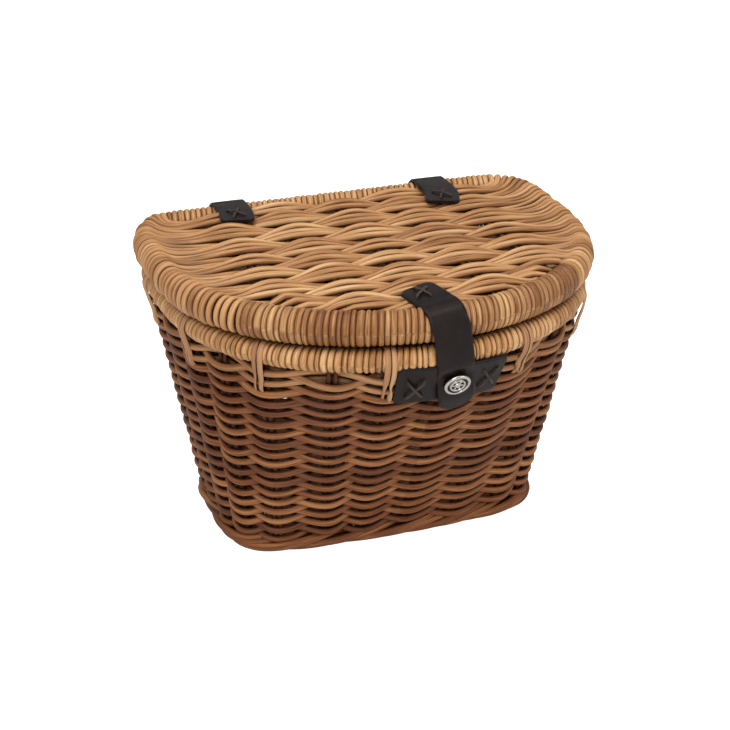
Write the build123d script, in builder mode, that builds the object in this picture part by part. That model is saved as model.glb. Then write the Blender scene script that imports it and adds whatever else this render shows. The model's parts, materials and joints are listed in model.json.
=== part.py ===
from build123d import *
from math import atan, cos, hypot, pi, sin
import os

# A lidded wicker handlebar basket. Millimetres. +Z is up, -Y is the bowed front and +Y the
# straight back that hangs on the handlebar. z = 0 is the underside of the foot border, and
# x = y = 0 is the middle of the lid.

# ---- Driving dimensions --------------------------------------------------------------------
LID_WIDTH = 370
LID_DEPTH = 274
TOTAL_HEIGHT = 250

LID_RIM_TALL = 28
LID_RIM_DEEP = 22
LID_GAP = 2.7
BODY_RIM_DIAMETER = 18.6
CANE_THICKNESS = 1.8
WRAP_CLEARANCE = 0.25

WALL_THICKNESS = 12
STAKE_DIAMETER = 5
STAKE_CLEARANCE = 0.1
FOOT_HEIGHT = 14
FOOT_WIDTH = 14

LEATHER = 2.6
STRAP_WIDTH = 30
FIT_GAP = 0.2

HANDLEBAR_RADIUS = 12.7
HANDLEBAR_Y = 155
HANDLEBAR_Z = 176
HANDLEBAR_STRAP_X = 46
HANDLEBAR_STRAP_WIDTH = 22
CLAMP_CLEARANCE = 0.1

HINGE_X = 91.5
BUTTON_X = 12
BUTTON_Z = 187

# ---- Plan outlines -------------------------------------------------------------------------
# A plan outline is a bowed front and a straight back with rounded corners:
# (half width, front y, back y, y where the bow ends, back corner x and y radii, bow's two powers)
LID_PLAN = (LID_WIDTH / 2, -LID_DEPTH / 2, LID_DEPTH / 2, 51, 38, 61, 1.89, 2.63)
RIM_PLAN = (170, -128.5, 128.5, 51, 30, 53, 1.89, 2.63)
FOOT_PLAN = (129, -34, 109, 60, 40, 45, 4.7, 4.7)

RIM_Z = TOTAL_HEIGHT - LID_RIM_TALL - LID_GAP - BODY_RIM_DIAMETER / 2
LID_RIM_Z = TOTAL_HEIGHT - LID_RIM_TALL / 2
WALL_TOP = RIM_Z - BODY_RIM_DIAMETER / 2 - FIT_GAP
WALL_REFERENCE_Z = 205
WALL_HALF = WALL_THICKNESS / 2

# Rods and canes that go right round meet at the middle of the back, this far from it.
RING_JOINT = 0.5

FRONT_POINTS = 25
DENSE_POINTS = 400


def grow(plan, by):
    """The plan outline moved outward by a distance."""
    half_width, front, back, bow_end, corner_x, corner_y, *powers = plan
    return (half_width + by, front - by, back + by, bow_end, corner_x + by, corner_y + by, *powers)


def half_outline(plan):
    """Dense points of the left half, from the middle of the front to the middle of the back."""
    half_width, front, back, bow_end, corner_x, corner_y, side_power, front_power = plan
    points = []
    for i in range(DENSE_POINTS):
        t = pi / 2 * (1 - i / DENSE_POINTS)
        x = -half_width * cos(t) ** (2 / side_power)
        y = bow_end + (front - bow_end) * sin(t) ** (2 / front_power)
        points.append((x, y))
    points.append((-half_width, bow_end))
    for i in range(DENSE_POINTS + 1):
        t = pi / 2 * i / DENSE_POINTS
        x = -(half_width - corner_x) - corner_x * cos(t)
        points.append((x, back - corner_y + corner_y * sin(t)))
    points.append((0, back))
    return points


def outline_table(plan):
    """The whole closed outline as (length so far, x, y), starting at the middle of the front."""
    left = half_outline(plan)
    right = [(-x, y) for x, y in reversed(left)]
    points = left + right[1:]
    table = []
    length = 0
    last = points[0]
    for point in points:
        length += hypot(point[0] - last[0], point[1] - last[1])
        table.append((length, point[0], point[1]))
        last = point
    return table


OUTLINE_CACHE = {}


def outline_length(plan, index):
    """The outline's length up to one of its dense points."""
    if plan not in OUTLINE_CACHE:
        OUTLINE_CACHE[plan] = outline_table(plan)
    return OUTLINE_CACHE[plan][index][0]


def at_share(plan, share):
    """The outline's point at a share (0 to 1) of its length: 0 is the middle of the front and
    the share grows towards the left side, the back and the right side."""
    wanted = (share % 1) * outline_length(plan, -1)
    table = OUTLINE_CACHE[plan]
    low, high = 0, len(table) - 1
    while high - low > 1:
        middle = (low + high) // 2
        if table[middle][0] <= wanted:
            low = middle
        else:
            high = middle
    span = table[high][0] - table[low][0]
    part = 0 if span == 0 else (wanted - table[low][0]) / span
    x = table[low][1] + part * (table[high][1] - table[low][1])
    y = table[low][2] + part * (table[high][2] - table[low][2])
    return x, y


def share_at_x(plan, x, front=True):
    """The share of the outline's front (or straight back) that has this x."""
    low, high = (-0.25, 0.25) if front else (0.5 - 0.2, 0.5 + 0.2)
    for _ in range(50):
        middle = (low + high) / 2
        here = at_share(plan, middle)[0]
        too_far = here < x if front else here > x
        if too_far:
            high = middle
        else:
            low = middle
    return (low + high) / 2


def direction(plan, share):
    """The level direction in which the outline runs at a share of its length."""
    step = 0.002
    before = Vector(*at_share(plan, share - step))
    after = Vector(*at_share(plan, share + step))
    return (after - before).normalized()


def curve_between(plan, z, start, end, count):
    """A smooth curve along the outline between two shares, at height z."""
    shares = [start + (end - start) * i / (count - 1) for i in range(count)]
    points = [Vector(*at_share(plan, share), z) for share in shares]
    return Edge.make_spline(points, tangents=[direction(plan, start), direction(plan, end)])


def outline_edges(plan, z=0.0, back_gap=0.0):
    """The outline from the middle of the back round the right side, the front and the left side."""
    half_width, _, back, bow_end, corner_x, corner_y, _, _ = plan
    bow_share = outline_length(plan, DENSE_POINTS) / outline_length(plan, -1)
    straight_x = half_width - corner_x
    corner_start = back - corner_y
    right_centre = Plane(origin=(straight_x, corner_start, z))
    left_centre = Plane(origin=(-straight_x, corner_start, z))
    clockwise = AngularDirection.CLOCKWISE
    return [
        Edge.make_line((back_gap, back, z), (straight_x, back, z)),
        Edge.make_ellipse(corner_x, corner_y, right_centre, 90, 0, clockwise),
        Edge.make_line((half_width, corner_start, z), (half_width, bow_end, z)),
        curve_between(plan, z, 1 - bow_share, 1 + bow_share, FRONT_POINTS),
        Edge.make_line((-half_width, bow_end, z), (-half_width, corner_start, z)),
        Edge.make_ellipse(corner_x, corner_y, left_centre, 180, 90, clockwise),
        Edge.make_line((-straight_x, back, z), (-back_gap, back, z)),
    ]


def closed_wire(plan):
    """The whole outline, for a sketch that is placed by its own plane."""
    return Wire(outline_edges(plan))


def ring_wire(plan, z):
    """The outline for a rod that goes right round, with its small joint at the back."""
    return Wire(outline_edges(plan, z, RING_JOINT))


def wall_plan(z):
    """The plan of the wall's middle surface at height z."""
    share = z / WALL_REFERENCE_Z
    return tuple(low + (high - low) * share for low, high in zip(FOOT_PLAN, RIM_PLAN))


def wall_point(share, z):
    """A point of the straight line that a stake at this share follows in the wall."""
    rise = z / WALL_REFERENCE_Z
    low = at_share(FOOT_PLAN, share)
    high = at_share(RIM_PLAN, share)
    return Vector(low[0] + (high[0] - low[0]) * rise, low[1] + (high[1] - low[1]) * rise, z)


def wall_plane(share, z, out):
    """The plane that touches a wall surface: z_dir points outward and x_dir runs level."""
    here = Vector(*at_share(grow(wall_plan(z), out), share), z)
    higher = Vector(*at_share(grow(wall_plan(z + 1), out), share), z + 1)
    along = direction(grow(wall_plan(z), out), share)
    return Plane(origin=here, x_dir=-along, z_dir=(higher - here).cross(along))


def section_plane(plan, share, z):
    """A plane across an outline: local x points outward, local y points up."""
    along = direction(plan, share)
    origin = Vector(*at_share(plan, share), z)
    return Plane(origin=origin, x_dir=Vector(0, 0, 1).cross(along), z_dir=along)


def back_section_plane(plan, z, x):
    """The plane across an outline's straight back at x. Local x points outward, local y up."""
    return Plane(origin=(x, plan[2], z), x_dir=(0, 1, 0), z_dir=(1, 0, 0))


def plan_face(plan, z):
    """A level face with this plan outline."""
    with BuildSketch(Plane.XY.offset(z)) as sketch:
        make_face(closed_wire(plan))
    return sketch.sketch


def wall_faces(out, z_low, z_high):
    """The level faces inside a wall surface at two heights, to loft between."""
    return [plan_face(grow(wall_plan(z), out), z) for z in (z_low, z_high)]


# ---- Stakes --------------------------------------------------------------------------------
# Twenty-two upright pairs. Those round the front stand where the maker set them by hand; the
# rest are evenly spaced to both sides of the middle of the back.
FRONT_STAKES = (0.039, 0.081, 0.135, 0.173, 0.873, 0.928, 0.988)
BACK_STAKE_FIRST = 0.0225
BACK_STAKE_STEP = 0.0445
STAKES_LEFT_OF_BACK = 7
STAKES_RIGHT_OF_BACK = 8
STAKE_PAIR_SPACING = STAKE_DIAMETER + 0.2
STAKE_TRIM = 5

back_left = [0.5 - BACK_STAKE_FIRST - BACK_STAKE_STEP * i for i in range(STAKES_LEFT_OF_BACK)]
back_right = [0.5 + BACK_STAKE_FIRST + BACK_STAKE_STEP * i for i in range(STAKES_RIGHT_OF_BACK)]
STAKE_SHARES = sorted(list(FRONT_STAKES) + back_left + back_right)
TIE_SHARES = STAKE_SHARES[::2]

WALL_LOW = FOOT_HEIGHT + FIT_GAP


def stake_rods(radius):
    """Both rods of every pair, leaning with the wall and running a little past both its ends."""
    rods = []
    for share in STAKE_SHARES:
        bottom = wall_point(share, WALL_LOW)
        top = wall_point(share, WALL_TOP)
        along = (wall_point(share + 0.002, WALL_TOP) - wall_point(share - 0.002, WALL_TOP)).normalized()
        for side in (-0.5, 0.5):
            rise = (top - bottom).normalized()
            foot = bottom + along * (side * STAKE_PAIR_SPACING) - rise * STAKE_TRIM
            length = (top - bottom).length + 2 * STAKE_TRIM
            rods.append(Solid.make_cylinder(radius, length, Plane(origin=foot, z_dir=rise)))
    return rods


with BuildPart() as side_stakes:
    add(stake_rods(STAKE_DIAMETER / 2))
    with BuildSketch(Plane.XY.offset(WALL_LOW)):
        Rectangle(2 * LID_WIDTH, 2 * LID_WIDTH)
    extrude(amount=WALL_TOP - WALL_LOW, mode=Mode.INTERSECT)
side_stakes.part.label = "side_stakes"

# ---- Base and foot -------------------------------------------------------------------------
BASE_LOW = 0
BASE_HIGH = 12
BASE_STICK_RADIUS = 3
BASE_STICK_Y = (-14, 12, 38, 64, 90)
BASE_EDGE_GAP = 0.4
FOOT_CHAMFER = 2.5

base_plan = grow(FOOT_PLAN, -FOOT_WIDTH / 2 - BASE_EDGE_GAP)
base_middle = (BASE_LOW + BASE_HIGH) / 2


def base_bar_ends(radius):
    """The end circles of the level bars along X, one at each stick of the base."""
    with BuildSketch(Plane.YZ.offset(-FOOT_PLAN[0])) as ends:
        with Locations(*[(stick_y, base_middle) for stick_y in BASE_STICK_Y]):
            Circle(radius)
    return ends.sketch


with BuildPart() as foot_border:
    extrude(plan_face(grow(FOOT_PLAN, FOOT_WIDTH / 2), 0), amount=FOOT_HEIGHT)
    extrude(plan_face(grow(FOOT_PLAN, -FOOT_WIDTH / 2), 0), amount=FOOT_HEIGHT, mode=Mode.SUBTRACT)
    levels = foot_border.edges().group_by(Axis.Z)
    chamfer(levels[0] + levels[-1], FOOT_CHAMFER)
foot_border.part.label = "foot_border"

with BuildPart() as base_weave:
    extrude(plan_face(base_plan, BASE_LOW), amount=BASE_HIGH - BASE_LOW)
    bar_ends = base_bar_ends(BASE_STICK_RADIUS + STAKE_CLEARANCE)
    extrude(bar_ends, amount=2 * FOOT_PLAN[0], mode=Mode.SUBTRACT)
base_weave.part.label = "base_weave"

with BuildPart() as base_sticks:
    extrude(base_bar_ends(BASE_STICK_RADIUS), amount=2 * FOOT_PLAN[0])
    extrude(plan_face(base_plan, BASE_LOW), amount=BASE_HIGH - BASE_LOW, mode=Mode.INTERSECT)
base_sticks.part.label = "base_sticks"

# ---- Body rim ------------------------------------------------------------------------------
with BuildPart() as rim_hoop:
    with BuildSketch(back_section_plane(RIM_PLAN, RIM_Z, RING_JOINT)):
        Circle(BODY_RIM_DIAMETER / 2 - CANE_THICKNESS - WRAP_CLEARANCE)
    sweep(path=ring_wire(RIM_PLAN, RIM_Z))
rim_hoop.part.label = "rim_hoop"

with BuildPart() as rim_wrapping:
    with BuildSketch(back_section_plane(RIM_PLAN, RIM_Z, RING_JOINT)):
        Circle(BODY_RIM_DIAMETER / 2)
        Circle(BODY_RIM_DIAMETER / 2 - CANE_THICKNESS, mode=Mode.SUBTRACT)
    sweep(path=ring_wire(RIM_PLAN, RIM_Z))
rim_wrapping.part.label = "rim_wrapping"

# Each tie is a pair of canes slung over the rim at every other stake, down both wall faces.
TIE_WIDTH = 4.5
TIE_SPACING = 5.5
TIE_THICKNESS = 1.4
TIE_GAP = 0.7
TIE_INNER = BODY_RIM_DIAMETER / 2 + TIE_GAP
TIE_OUTER = TIE_INNER + TIE_THICKNESS
TIE_DROP = 38

with BuildPart() as rim_ties:
    for share in TIE_SHARES:
        middle = section_plane(RIM_PLAN, share, RIM_Z)
        for side in (-0.5, 0.5):
            start = middle.offset(side * TIE_SPACING - TIE_WIDTH / 2)
            with BuildSketch(start):
                with Locations((0, -TIE_DROP)):
                    SlotOverall(2 * (TIE_DROP + TIE_OUTER), 2 * TIE_OUTER, rotation=90)
                    SlotOverall(2 * (TIE_DROP + TIE_INNER), 2 * TIE_INNER, rotation=90, mode=Mode.SUBTRACT)
                    below = (Align.CENTER, Align.MAX)
                    Rectangle(4 * TIE_OUTER, 4 * TIE_DROP, align=below, mode=Mode.SUBTRACT)
            extrude(amount=TIE_WIDTH)
rim_ties.part.label = "rim_ties"

# ---- Lid -----------------------------------------------------------------------------------
# The lid's hoop is wrapped with cane along the front and the back. At the two sides the
# weavers of the lid wrap round it instead.
LID_RIM_PLAN = grow(LID_PLAN, -LID_RIM_DEEP / 2)
FRONT_WRAP_END = 0.148
BACK_WRAP_X = 147
SLEEVE_POINTS = 33
LID_WEAVE_LOW = 240
LID_WEAVE_HIGH = 249
LID_EDGE_GAP = 0.4
LID_STAKE_RADIUS = 2.5
LID_STAKE_X = (-108, -54, 0, 54, 108)
LID_STAKE_END_GAP = 2
lid_weave_middle = (LID_WEAVE_LOW + LID_WEAVE_HIGH) / 2
lid_weave_plan = grow(LID_PLAN, -LID_RIM_DEEP - LID_EDGE_GAP)


def lid_rim_ring(plane):
    """The hollow oval cross-section of the lid's wrapping."""
    with BuildSketch(plane) as section:
        Ellipse(LID_RIM_DEEP / 2, LID_RIM_TALL / 2)
        Ellipse(LID_RIM_DEEP / 2 - CANE_THICKNESS, LID_RIM_TALL / 2 - CANE_THICKNESS, mode=Mode.SUBTRACT)
    return section.sketch


def lid_rim_sleeve(start, end):
    """One sleeve of wrapping round the lid's hoop, between two shares."""
    section = lid_rim_ring(section_plane(LID_RIM_PLAN, start, LID_RIM_Z))
    return sweep(section, path=curve_between(LID_RIM_PLAN, LID_RIM_Z, start, end, SLEEVE_POINTS))


def lid_stake_bars(radius):
    """Bars along Y, one at each stake of the lid, that end just inside the hoop."""
    bars = []
    for stake_x in LID_STAKE_X:
        front = at_share(lid_weave_plan, share_at_x(lid_weave_plan, stake_x))[1] + LID_STAKE_END_GAP
        back = lid_weave_plan[2] - LID_STAKE_END_GAP
        start = Plane(origin=(stake_x, front, lid_weave_middle), z_dir=(0, 1, 0))
        bars.append(Solid.make_cylinder(radius, back - front, start))
    return bars


with BuildPart() as lid_hoop:
    hoop_inset = CANE_THICKNESS + WRAP_CLEARANCE
    with BuildSketch(back_section_plane(LID_RIM_PLAN, LID_RIM_Z, RING_JOINT)):
        Ellipse(LID_RIM_DEEP / 2 - hoop_inset, LID_RIM_TALL / 2 - hoop_inset)
    sweep(path=ring_wire(LID_RIM_PLAN, LID_RIM_Z))
lid_hoop.part.label = "lid_hoop"

WRAP_JOINT = 0.0008
back_wrap_share = share_at_x(LID_RIM_PLAN, -BACK_WRAP_X, front=False)
with BuildPart() as lid_wrapping_front:
    add(lid_rim_sleeve(-FRONT_WRAP_END, FRONT_WRAP_END))
lid_wrapping_front.part.label = "lid_wrapping_front"

with BuildPart() as lid_wrapping_back:
    extrude(lid_rim_ring(back_section_plane(LID_RIM_PLAN, LID_RIM_Z, -BACK_WRAP_X)), amount=2 * BACK_WRAP_X)
lid_wrapping_back.part.label = "lid_wrapping_back"

with BuildPart() as lid_side_wraps:
    add(lid_rim_sleeve(FRONT_WRAP_END + WRAP_JOINT, back_wrap_share - WRAP_JOINT))
    mirror(about=Plane.YZ)
lid_side_wraps.part.label = "lid_side_wraps"

with BuildPart() as lid_stakes:
    add(lid_stake_bars(LID_STAKE_RADIUS))
lid_stakes.part.label = "lid_stakes"

# ---- Leather hinge straps ------------------------------------------------------------------
# Each hinge is one leather strap over the back of both rims. It bends at the gap between them,
# so its two leaves are separate solids here.
HINGE_LEAF_WIDTH = 29
HINGE_AXIS_Z = TOTAL_HEIGHT - LID_RIM_TALL - LID_GAP / 2
HINGE_LEAF_GAP = 1
BACK_LEATHER_Y = LID_DEPTH / 2 + 1
TOP_LEATHER_Z = TOTAL_HEIGHT + FIT_GAP
UPPER_LEAF_END_Y = 85
LOWER_LEAF_END_Z = 174
LEATHER_BEND = 10


def bent_strap(points, bend, thickness=LEATHER):
    """The side view of a strap bent along a line of (y, z) points, as a sketch on the YZ plane."""
    with BuildSketch(Plane.YZ) as side:
        with BuildLine():
            middle = FilletPolyline(*points, radius=bend)
            offset(middle, amount=thickness / 2, side=Side.BOTH)
        make_face()
    return side.sketch


LACE_WIDTH = 2.4
LACE_THICKNESS = 1.2
LACE_LENGTH = 21
LACE_ANGLE = 34
LACE_LEG_RADIUS = 1.0
WALL_LACE_LEG = 10
LID_LACE_LEG = 5.5
LACE_STEP = 0.2


def lace_cross(plane, leg):
    """A crossed thong that lies on a plane, with four legs that go down through it."""
    half = (LACE_LENGTH - LACE_WIDTH) / 2
    with BuildPart(plane) as cross:
        with BuildSketch(plane.offset(LACE_STEP)):
            SlotOverall(LACE_LENGTH, LACE_WIDTH, rotation=90 - LACE_ANGLE)
            SlotOverall(LACE_LENGTH, LACE_WIDTH, rotation=90 + LACE_ANGLE)
        extrude(amount=LACE_THICKNESS)
        with BuildSketch(plane.offset(LACE_STEP)):
            for angle in (90 - LACE_ANGLE, 90 + LACE_ANGLE):
                with PolarLocations(half, 2, start_angle=angle):
                    Circle(LACE_LEG_RADIUS)
        extrude(amount=-leg)
    return cross.part


def lace_holes(plane, leg):
    """The four holes that a crossed thong's legs pass through."""
    half = (LACE_LENGTH - LACE_WIDTH) / 2
    with BuildPart() as holes:
        with BuildSketch(plane.offset(LACE_STEP)):
            for angle in (90 - LACE_ANGLE, 90 + LACE_ANGLE):
                with PolarLocations(half, 2, start_angle=angle):
                    Circle(LACE_LEG_RADIUS + STAKE_CLEARANCE)
        extrude(amount=-leg - LACE_STEP)
    return holes.part


UPPER_LACE_Y = 99
LOWER_LACE_Z = 189
back_leather_middle = BACK_LEATHER_Y + LEATHER / 2
top_leather_middle = TOP_LEATHER_Z + LEATHER / 2
hinge_axis_y = BACK_LEATHER_Y + LEATHER

upper_leaves = {}
lower_leaves = {}
upper_lace_planes = []
lower_lace_planes = []
for side_name, x in (("left", -HINGE_X), ("right", HINGE_X)):
    on_lid = Plane(origin=(x, UPPER_LACE_Y, TOP_LEATHER_Z + LEATHER), x_dir=(1, 0, 0), z_dir=(0, 0, 1))
    on_wall = Plane(origin=(x, hinge_axis_y, LOWER_LACE_Z), x_dir=(-1, 0, 0), z_dir=(0, 1, 0))
    upper_lace_planes.append(on_lid)
    lower_lace_planes.append(on_wall)
    with BuildPart() as upper_leaf:
        upper_path = [
            (back_leather_middle, HINGE_AXIS_Z + HINGE_LEAF_GAP + LEATHER / 2),
            (back_leather_middle, top_leather_middle),
            (UPPER_LEAF_END_Y + LEATHER / 2, top_leather_middle),
        ]
        side_view = bent_strap(upper_path, LEATHER_BEND + LEATHER / 2)
        extrude(Pos(x - HINGE_LEAF_WIDTH / 2, 0, 0) * side_view, amount=HINGE_LEAF_WIDTH)
        add(lace_holes(on_lid, LID_LACE_LEG), mode=Mode.SUBTRACT)
    upper_leaf.part.label = "hinge_upper_leaf_" + side_name
    upper_leaves[side_name] = upper_leaf.part
    with BuildPart() as lower_leaf:
        with BuildSketch(Plane.XZ.offset(-BACK_LEATHER_Y)):
            with Locations((x, HINGE_AXIS_Z - HINGE_LEAF_GAP)):
                leaf_height = HINGE_AXIS_Z - HINGE_LEAF_GAP - LOWER_LEAF_END_Z
                Rectangle(HINGE_LEAF_WIDTH, leaf_height, align=(Align.CENTER, Align.MAX))
        extrude(amount=-LEATHER)
        fillet(lower_leaf.edges().filter_by(Axis.Y).group_by(Axis.Z)[0], 5)
        add(lace_holes(on_wall, WALL_LACE_LEG), mode=Mode.SUBTRACT)
    lower_leaf.part.label = "hinge_lower_leaf_" + side_name
    lower_leaves[side_name] = lower_leaf.part

with BuildPart() as hinge_upper_lacing:
    add([lace_cross(plane, LID_LACE_LEG) for plane in upper_lace_planes])
hinge_upper_lacing.part.label = "hinge_upper_lacing"

with BuildPart() as hinge_lower_lacing:
    add([lace_cross(plane, WALL_LACE_LEG) for plane in lower_lace_planes])
hinge_lower_lacing.part.label = "hinge_lower_lacing"

# ---- Body wall -----------------------------------------------------------------------------
# Things that pass through the wall: the button's rivet, the laces and the handlebar straps.
PATCH_THICKNESS = 2.4
PATCH_GAP = 0.3
PATCH_WIDTH = 88
PATCH_CENTRE_X = 9
PATCH_LOW = 166
PATCH_HIGH = 202
PATCH_TRIM = 4
PATCH_LACE_SPREAD = 31
PATCH_LACE_Z = 186

STUD_FLANGE_RADIUS = 6
STUD_FLANGE = 0.5
STUD_LIFT = 0.5
STUD_POST_RADIUS = 3
STUD_POST = 2.9
RIVET_RADIUS = 1.6
WASHER_RADIUS = 7
WASHER = 1
RIVET_CLEARANCE = 0.1

patch_low_out = WALL_HALF + PATCH_GAP
patch_high_out = patch_low_out + PATCH_THICKNESS
strap_slot_height = LEATHER + 2 * FIT_GAP
strap_slot_drop = HANDLEBAR_RADIUS + CLAMP_CLEARANCE + LEATHER / 2

button_share = share_at_x(wall_plan(BUTTON_Z), BUTTON_X)
button_spot = wall_plane(button_share, BUTTON_Z, patch_high_out).origin
wall_slope = (RIM_PLAN[1] - FOOT_PLAN[1]) / WALL_REFERENCE_Z
button_face = Plane(origin=button_spot, x_dir=(1, 0, 0), z_dir=(0, -1, wall_slope))
patch_lace_planes = []
for side in (-1, 1):
    lace_share = share_at_x(wall_plan(PATCH_LACE_Z), PATCH_CENTRE_X + side * PATCH_LACE_SPREAD)
    patch_lace_planes.append(wall_plane(lace_share, PATCH_LACE_Z, patch_high_out))

with BuildPart() as keeper_patch:
    for out, mode in ((patch_high_out, Mode.ADD), (patch_low_out, Mode.SUBTRACT)):
        loft(wall_faces(out, PATCH_LOW - PATCH_TRIM, PATCH_HIGH + PATCH_TRIM), ruled=True, mode=mode)
    with BuildSketch(Plane.XZ):
        with Locations((PATCH_CENTRE_X, (PATCH_LOW + PATCH_HIGH) / 2)):
            RectangleRounded(PATCH_WIDTH, PATCH_HIGH - PATCH_LOW, 3)
    extrude(amount=LID_DEPTH, mode=Mode.INTERSECT)
    for plane in patch_lace_planes:
        add(lace_holes(plane, WALL_LACE_LEG), mode=Mode.SUBTRACT)
    with BuildSketch(button_face):
        Circle(RIVET_RADIUS + RIVET_CLEARANCE)
    extrude(amount=2 * PATCH_THICKNESS, both=True, mode=Mode.SUBTRACT)
keeper_patch.part.label = "keeper_patch"

with BuildPart() as keeper_lacing:
    add([lace_cross(plane, WALL_LACE_LEG) for plane in patch_lace_planes])
keeper_lacing.part.label = "keeper_lacing"

rivet_length = PATCH_THICKNESS + PATCH_GAP + WALL_THICKNESS
with BuildPart() as button_stud:
    with BuildSketch(button_face.offset(STUD_LIFT)):
        Circle(STUD_FLANGE_RADIUS)
    extrude(amount=STUD_FLANGE)
    with BuildSketch(button_face.offset(STUD_LIFT)):
        Circle(STUD_POST_RADIUS)
    extrude(amount=STUD_POST)
    with BuildSketch(button_face.offset(STUD_LIFT)):
        Circle(RIVET_RADIUS)
    extrude(amount=-rivet_length - WASHER - 1)
button_stud.part.label = "button_stud"

with BuildPart() as stud_washer:
    with BuildSketch(button_face.offset(-rivet_length - 0.4)):
        Circle(WASHER_RADIUS)
        Circle(RIVET_RADIUS + RIVET_CLEARANCE, mode=Mode.SUBTRACT)
    extrude(amount=-WASHER)
stud_washer.part.label = "stud_washer"

with BuildPart() as body_weave:
    for out, mode in ((WALL_HALF, Mode.ADD), (-WALL_HALF, Mode.SUBTRACT)):
        loft(wall_faces(out, WALL_LOW, WALL_TOP), ruled=True, mode=mode)
    add(stake_rods(STAKE_DIAMETER / 2 + STAKE_CLEARANCE), mode=Mode.SUBTRACT)
    with BuildSketch(button_face):
        Circle(RIVET_RADIUS + RIVET_CLEARANCE)
    extrude(amount=-2 * rivet_length, mode=Mode.SUBTRACT)
    with BuildSketch(Plane.XZ):
        for x in (-HANDLEBAR_STRAP_X, HANDLEBAR_STRAP_X):
            for drop in (-strap_slot_drop, strap_slot_drop):
                with Locations((x, HANDLEBAR_Z + drop)):
                    Rectangle(HANDLEBAR_STRAP_WIDTH + 2 * FIT_GAP, strap_slot_height)
    extrude(amount=-LID_DEPTH, mode=Mode.SUBTRACT)
body_weave.part.label = "body_weave"

# ---- Handlebar straps ----------------------------------------------------------------------
# Each strap runs up inside the back wall, out through two slots and round the handlebar. Its
# free end passes behind the buckle's upper bar and hangs down outside the lower one.
STRAP_INSIDE_Y = 116
BUCKLE_Y = 170.2
BUCKLE_HALF_TALL = 12
BUCKLE_HALF_WIDE = 13.6
BUCKLE_WIRE = 1.6
TAIL_END_Z = 124
TAIL_Y = 174.6
TONGUE_SLOT_HALF = 2
TONGUE_WIDTH = 3
TONGUE_THICKNESS = 1.8
TONGUE_EYE_OUTER = 3.1
TONGUE_CLEARANCE = 0.08
TONGUE_REST_GAP = 0.15
STRAP_BUCKLE_SLOT = (158, 187)
SLOT_DEPTH_IN_LOOP = 0.4

loop_middle = HANDLEBAR_RADIUS + CLAMP_CLEARANCE + LEATHER / 2
buckle_low = HANDLEBAR_Z - BUCKLE_HALF_TALL
buckle_high = HANDLEBAR_Z + BUCKLE_HALF_TALL


def handlebar_strap_side():
    """The strap's side view on the YZ plane: a closed loop and its hanging tail."""
    outer = loop_middle + LEATHER / 2
    inner = loop_middle - LEATHER / 2
    with BuildSketch(Plane.YZ) as side:
        for radius, mode in ((outer, Mode.ADD), (inner, Mode.SUBTRACT)):
            start = STRAP_INSIDE_Y - (radius - loop_middle)
            with Locations((HANDLEBAR_Y, HANDLEBAR_Z)):
                Circle(radius, mode=mode)
            with Locations((start, HANDLEBAR_Z)):
                Rectangle(HANDLEBAR_Y - start, 2 * radius, align=(Align.MIN, Align.CENTER), mode=mode)
        with BuildLine():
            Polyline(
                (HANDLEBAR_Y + inner + 0.3, HANDLEBAR_Z + 3),
                (HANDLEBAR_Y + outer, HANDLEBAR_Z + 3),
                (TAIL_Y + LEATHER / 2, buckle_low),
                (TAIL_Y + LEATHER / 2, TAIL_END_Z),
                (TAIL_Y - LEATHER / 2, TAIL_END_Z),
                (TAIL_Y - LEATHER / 2, buckle_low),
                close=True,
            )
        make_face()
    return side.sketch


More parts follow.
